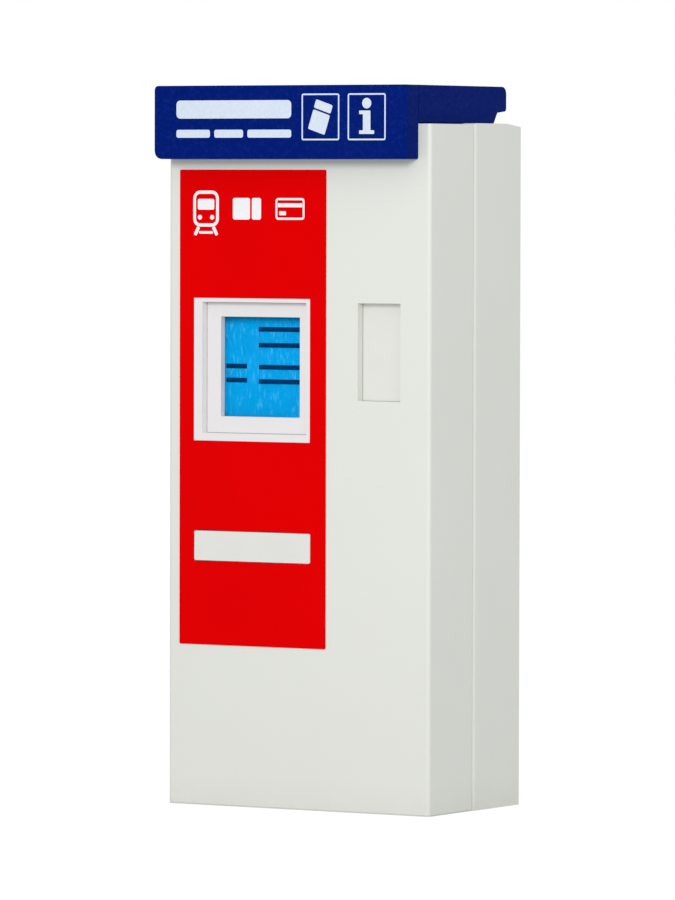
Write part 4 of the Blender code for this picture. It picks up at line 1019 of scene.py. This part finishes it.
painted_shadow_low, painted_shadow_high, glow = 1.337, 1.360, 0.05
lit = Finish("lit_display", (1, 148, 209), specular=0.0)
lit.tint(lit.spread(lit.noise(0.08, detail=2.0), 0.0, 0.5), (2, 154, 216))
pale_streaks = lit.noise(0.005, detail=4.0, drawn=(1, 1, 4))
lit.tint(lit.spread(pale_streaks, 0.0, 0.42, 0.54, 0.74), (104, 196, 230))
dark_streaks = lit.noise(0.007, detail=4.0, drawn=(1, 1, 3))
lit.tint(lit.spread(dark_streaks, 0.26, 0.0, 0.28, 0.46), (0, 118, 186))
# Painted shadow of the mask's upper edge: the top strip of the panel darkens towards its edge.
lit.tint(lit.spread(height_on(lit, painted_shadow_low, painted_shadow_high), 0.0, 0.8, 0.0, 1.0), (0, 80, 124))
lit.bump(lit.noise(0.0005), 0.00001, 0.4)
lit.roughen(lit.noise(0.01), 0.45, 0.55)
lit.set("Emission Color", (*linear((3, 158, 226)), 1.0))
lit.set("Emission Strength", glow)
dress("lit_panel", "display_panel", lit, "door", "display", edge=0.0008)

screen_ink = mottled(
    "screen_bars",
    colours=((1, 40, 78), (3, 56, 100)),
    sizes=(0.02, 0.01, 0.0005),
    rough=(0.45, 0.58),
    relief=(0.00001, 0.4),
    specular=0.0,
)
menu_bar_height, menu_corner, menu_film = 0.0135, 0.002, 0.00015
wide_bars = (-0.0845, 0.147, (1.326, 1.282, 1.221, 1.181))
narrow_bars = (-0.2300, 0.068, (1.223, 1.184))
menu = bmesh.new()
for middle, width, levels in (wide_bars, narrow_bars):
    for z in levels:
        add_patch(menu, (middle, z), (width, menu_bar_height), menu_corner)
display_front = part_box("display_panel")[0].y
lay_print("menu_bars", menu, screen_ink, "display", display_front, menu_film)

vent_columns, vent_levels, vent_rows, vent_length = (-0.2375, -0.0475), (1.085, 1.355), 7, 0.120
screen_vents = [(x, z, vent_rows, vent_length) for x in vent_columns for z in vent_levels]
add_box("display_housing", zinc, "zinc_steel", 0.0006, screen_vents, "door", out=1)
housing_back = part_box("display_housing")[1].y
display_columns, display_level = (-0.165, -0.120), 1.220
display_places = [(x, housing_back, display_level) for x in display_columns]
add_sockets("display_sockets", display_places, (0.032, 0.010, 0.016), "door", out=1)

# Payment recess: a sleeve behind the cut-out, a plain cover for a contactless reader, and the reader.
# Folded and painted sleeve, white grained cover, black reader housing screwed on from behind.

dress("recess_sleeve", "payment_sleeve", pale_coat, "door", "pale_paint", edge=0.0005)
grained_pale = mottled(
    "grained_pale",
    colours=((228, 229, 224), (222, 223, 217)),
    sizes=(0.12, 0.01, 0.0009),
    rough=(0.44, 0.58),
    relief=(0.00005, 0.6),
    specular=0.22,
    share=0.4,
)
dress("recess_cover", "reader_cover", grained_pale, "door", "white_plastic", edge=0.0008)
sleeve_wall = 0.0021
cover_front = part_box("reader_cover")[0].y
# Painted shade in the recess's inner corner, as a grey strip round the cover's edge.
add_shade_line("recess_shade_line", shrunk(front_outline("reader_cover"), sleeve_wall), cover_front)
add_box("card_reader", nylon, "black_plastic", 0.003, [], "door", out=1, screw_edge=0.010)
reader_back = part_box("card_reader")[1].y
reader_x, reader_level = 0.260, 1.180
add_sockets("reader_socket", [(reader_x, reader_back, reader_level)], (0.030, 0.009, 0.016), "door", out=1)

# Ticket tray, chute, flap and pin: the tray behind the slot, fed by a sloping channel.
# Folded plated sheet, a white moulded flap with a barrel along its top, and a drawn steel pin.

dress("folded_tray", "ticket_tray", zinc, "door", "zinc_steel", edge=0.0004)
dress("folded_chute", "ticket_chute", zinc, "door", "zinc_steel", edge=0.0004)
dress("drawn_pin", "flap_pin", bright, "door", "bright_steel", edge=0.0004)
dress("flap_moulding", "ticket_flap", grained_pale, "flap", "white_plastic", edge=0.0005)

# Lock: a geared motor in a case turns a pinion between two toothed bolts, which run into keeps.
# Plated case and keeps, bright steel bolts and pinion, black motor and nylon guides.

lock_pieces = (
    ("lock_case", zinc, "door", "zinc_steel", 0.0005),
    ("lock_motor", nylon, "door", "black_plastic", 0.004),
    ("bolt_guide_upper", nylon, "door", "black_plastic", 0.0006),
    ("bolt_guide_lower", nylon, "door", "black_plastic", 0.0006),
    ("lock_bolt_upper", bright, "upper_bolt", "bright_steel", 0.0003),
    ("lock_bolt_lower", bright, "lower_bolt", "bright_steel", 0.0003),
    ("lock_pinion", bright, "pinion", "bright_steel", 0.0002),
    ("bolt_keep_upper", zinc, "cabinet", "zinc_steel", 0.0006),
    ("bolt_keep_lower", zinc, "cabinet", "zinc_steel", 0.0010),
)
for node, finish, body, slot, edge in lock_pieces:
    dress(f"{node}_made", node, finish, body, slot, edge)
lock_low, lock_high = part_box("lock_case")
lock_screw_radius, lock_screw_height, case_sheet = 0.004, 0.002, 0.003
lock_screw_end, lock_screw_left, lock_screw_right = 0.014, 0.012, 0.016
lock_levels = (lock_low.z + lock_screw_end, lock_high.z - lock_screw_end)
lock_columns = (lock_low.x + lock_screw_left, lock_high.x - lock_screw_right)
lock_seats = [(x, lock_low.y + case_sheet, z) for z in lock_levels for x in lock_columns]
add_screws("lock_screws", lock_seats, (0, 1, 0), lock_screw_radius, lock_screw_height, "door")

# Stage: a plain floor under a white room, one large soft lamp and the camera at the photograph's angle.
# Floor and room show as even white, and light the object at a plain level.

floor_size = 60.0
ground = bmesh.new()
bmesh.ops.create_grid(ground, x_segments=1, y_segments=1, size=floor_size / 2)
floor_mesh = bpy.data.meshes.new("studio_floor")
ground.to_mesh(floor_mesh)
ground.free()
floor = bpy.data.objects.new("studio_floor", floor_mesh)
bpy.context.scene.collection.objects.link(floor)


def seen_ray(tree):
    """1 for the rays that show the background: straight from the camera, mirrored or through glass."""
    rays = add_node(tree, "LightPath", {}, {})
    seen = rays.outputs["Is Camera Ray"]
    for kind in ("Is Glossy Ray", "Is Transmission Ray"):
        either = add_node(tree, "Math", {}, {0: seen, 1: rays.outputs[kind]})
        either.operation = "MAXIMUM"
        seen = either.outputs["Value"]
    return seen


lit_albedo, shown_albedo, shown_glow = 0.70, 0.25, 0.83
floor_paint = bpy.data.materials.new("studio_floor_paint")
floor_paint.use_nodes = True
floor_mesh.materials.append(floor_paint)
tree = floor_paint.node_tree
matt = tree.nodes["Principled BSDF"]
shown = add_node(tree, "BsdfPrincipled", {}, {})
for shader, albedo in ((matt, lit_albedo), (shown, shown_albedo)):
    shader.inputs["Base Color"].default_value = (albedo, albedo, albedo, 1.0)
    shader.inputs["Roughness"].default_value = 1.0
    shader.inputs["Specular IOR Level"].default_value = 0.0
shown.inputs["Emission Color"].default_value = (1.0, 1.0, 1.0, 1.0)
shown.inputs["Emission Strength"].default_value = shown_glow
floors = {"Fac": seen_ray(tree), 1: matt.outputs["BSDF"], 2: shown.outputs["BSDF"]}
either_floor = add_node(tree, "MixShader", {}, floors)
tree.links.new(either_floor.outputs["Shader"], tree.nodes["Material Output"].inputs["Surface"])

room_light, shown_light = 0.70, 1.0
room = bpy.data.worlds.new("white_room")
bpy.context.scene.world = room
room.use_nodes = True
tree = room.node_tree
sky = tree.nodes["Background"]
sky.inputs["Color"].default_value = (1.0, 1.0, 1.0, 1.0)
levels = {"To Min": room_light, "To Max": shown_light}
sky_level = add_node(tree, "MapRange", levels, {"Value": seen_ray(tree)})
tree.links.new(sky_level.outputs["Result"], sky.inputs["Strength"])

lamp_level, lamp_distance, lamp_width = 1.20, 11.0, 3.1
lamp_aim, to_lamp = Vector((0, 0, 1.1)), Vector((0.42, -0.82, 0.29)).normalized()
lamp = bpy.data.lights.new("softbox", "AREA")
lamp.shape = "DISK"
lamp.size = lamp_width
lamp.energy = lamp_level * math.pi * lamp_distance**2
lamp_object = bpy.data.objects.new("softbox", lamp)
bpy.context.scene.collection.objects.link(lamp_object)
lamp_object.location = lamp_aim + to_lamp * lamp_distance
lamp_object.rotation_euler = to_lamp.to_track_quat("Z", "Y").to_euler()

camera_place, camera_lens = (10.564, -17.353, 1.724), 291.82
camera_azimuth, camera_drop, camera_roll = 31.385, 2.074, 0.127
camera_data = bpy.data.cameras.new("photo_camera")
camera_data.lens = camera_lens
camera_data.sensor_width = 36.0
camera_data.clip_end = 200.0
camera = bpy.data.objects.new("photo_camera", camera_data)
bpy.context.scene.collection.objects.link(camera)
aim = Matrix.Rotation(math.radians(camera_azimuth), 4, "Z")
aim @= Matrix.Rotation(math.radians(90 - camera_drop), 4, "X")
aim @= Matrix.Rotation(math.radians(camera_roll), 4, "Z")
camera.matrix_world = Matrix.Translation(camera_place) @ aim
bpy.context.scene.camera = camera
bpy.context.scene.view_settings.view_transform = "Standard"
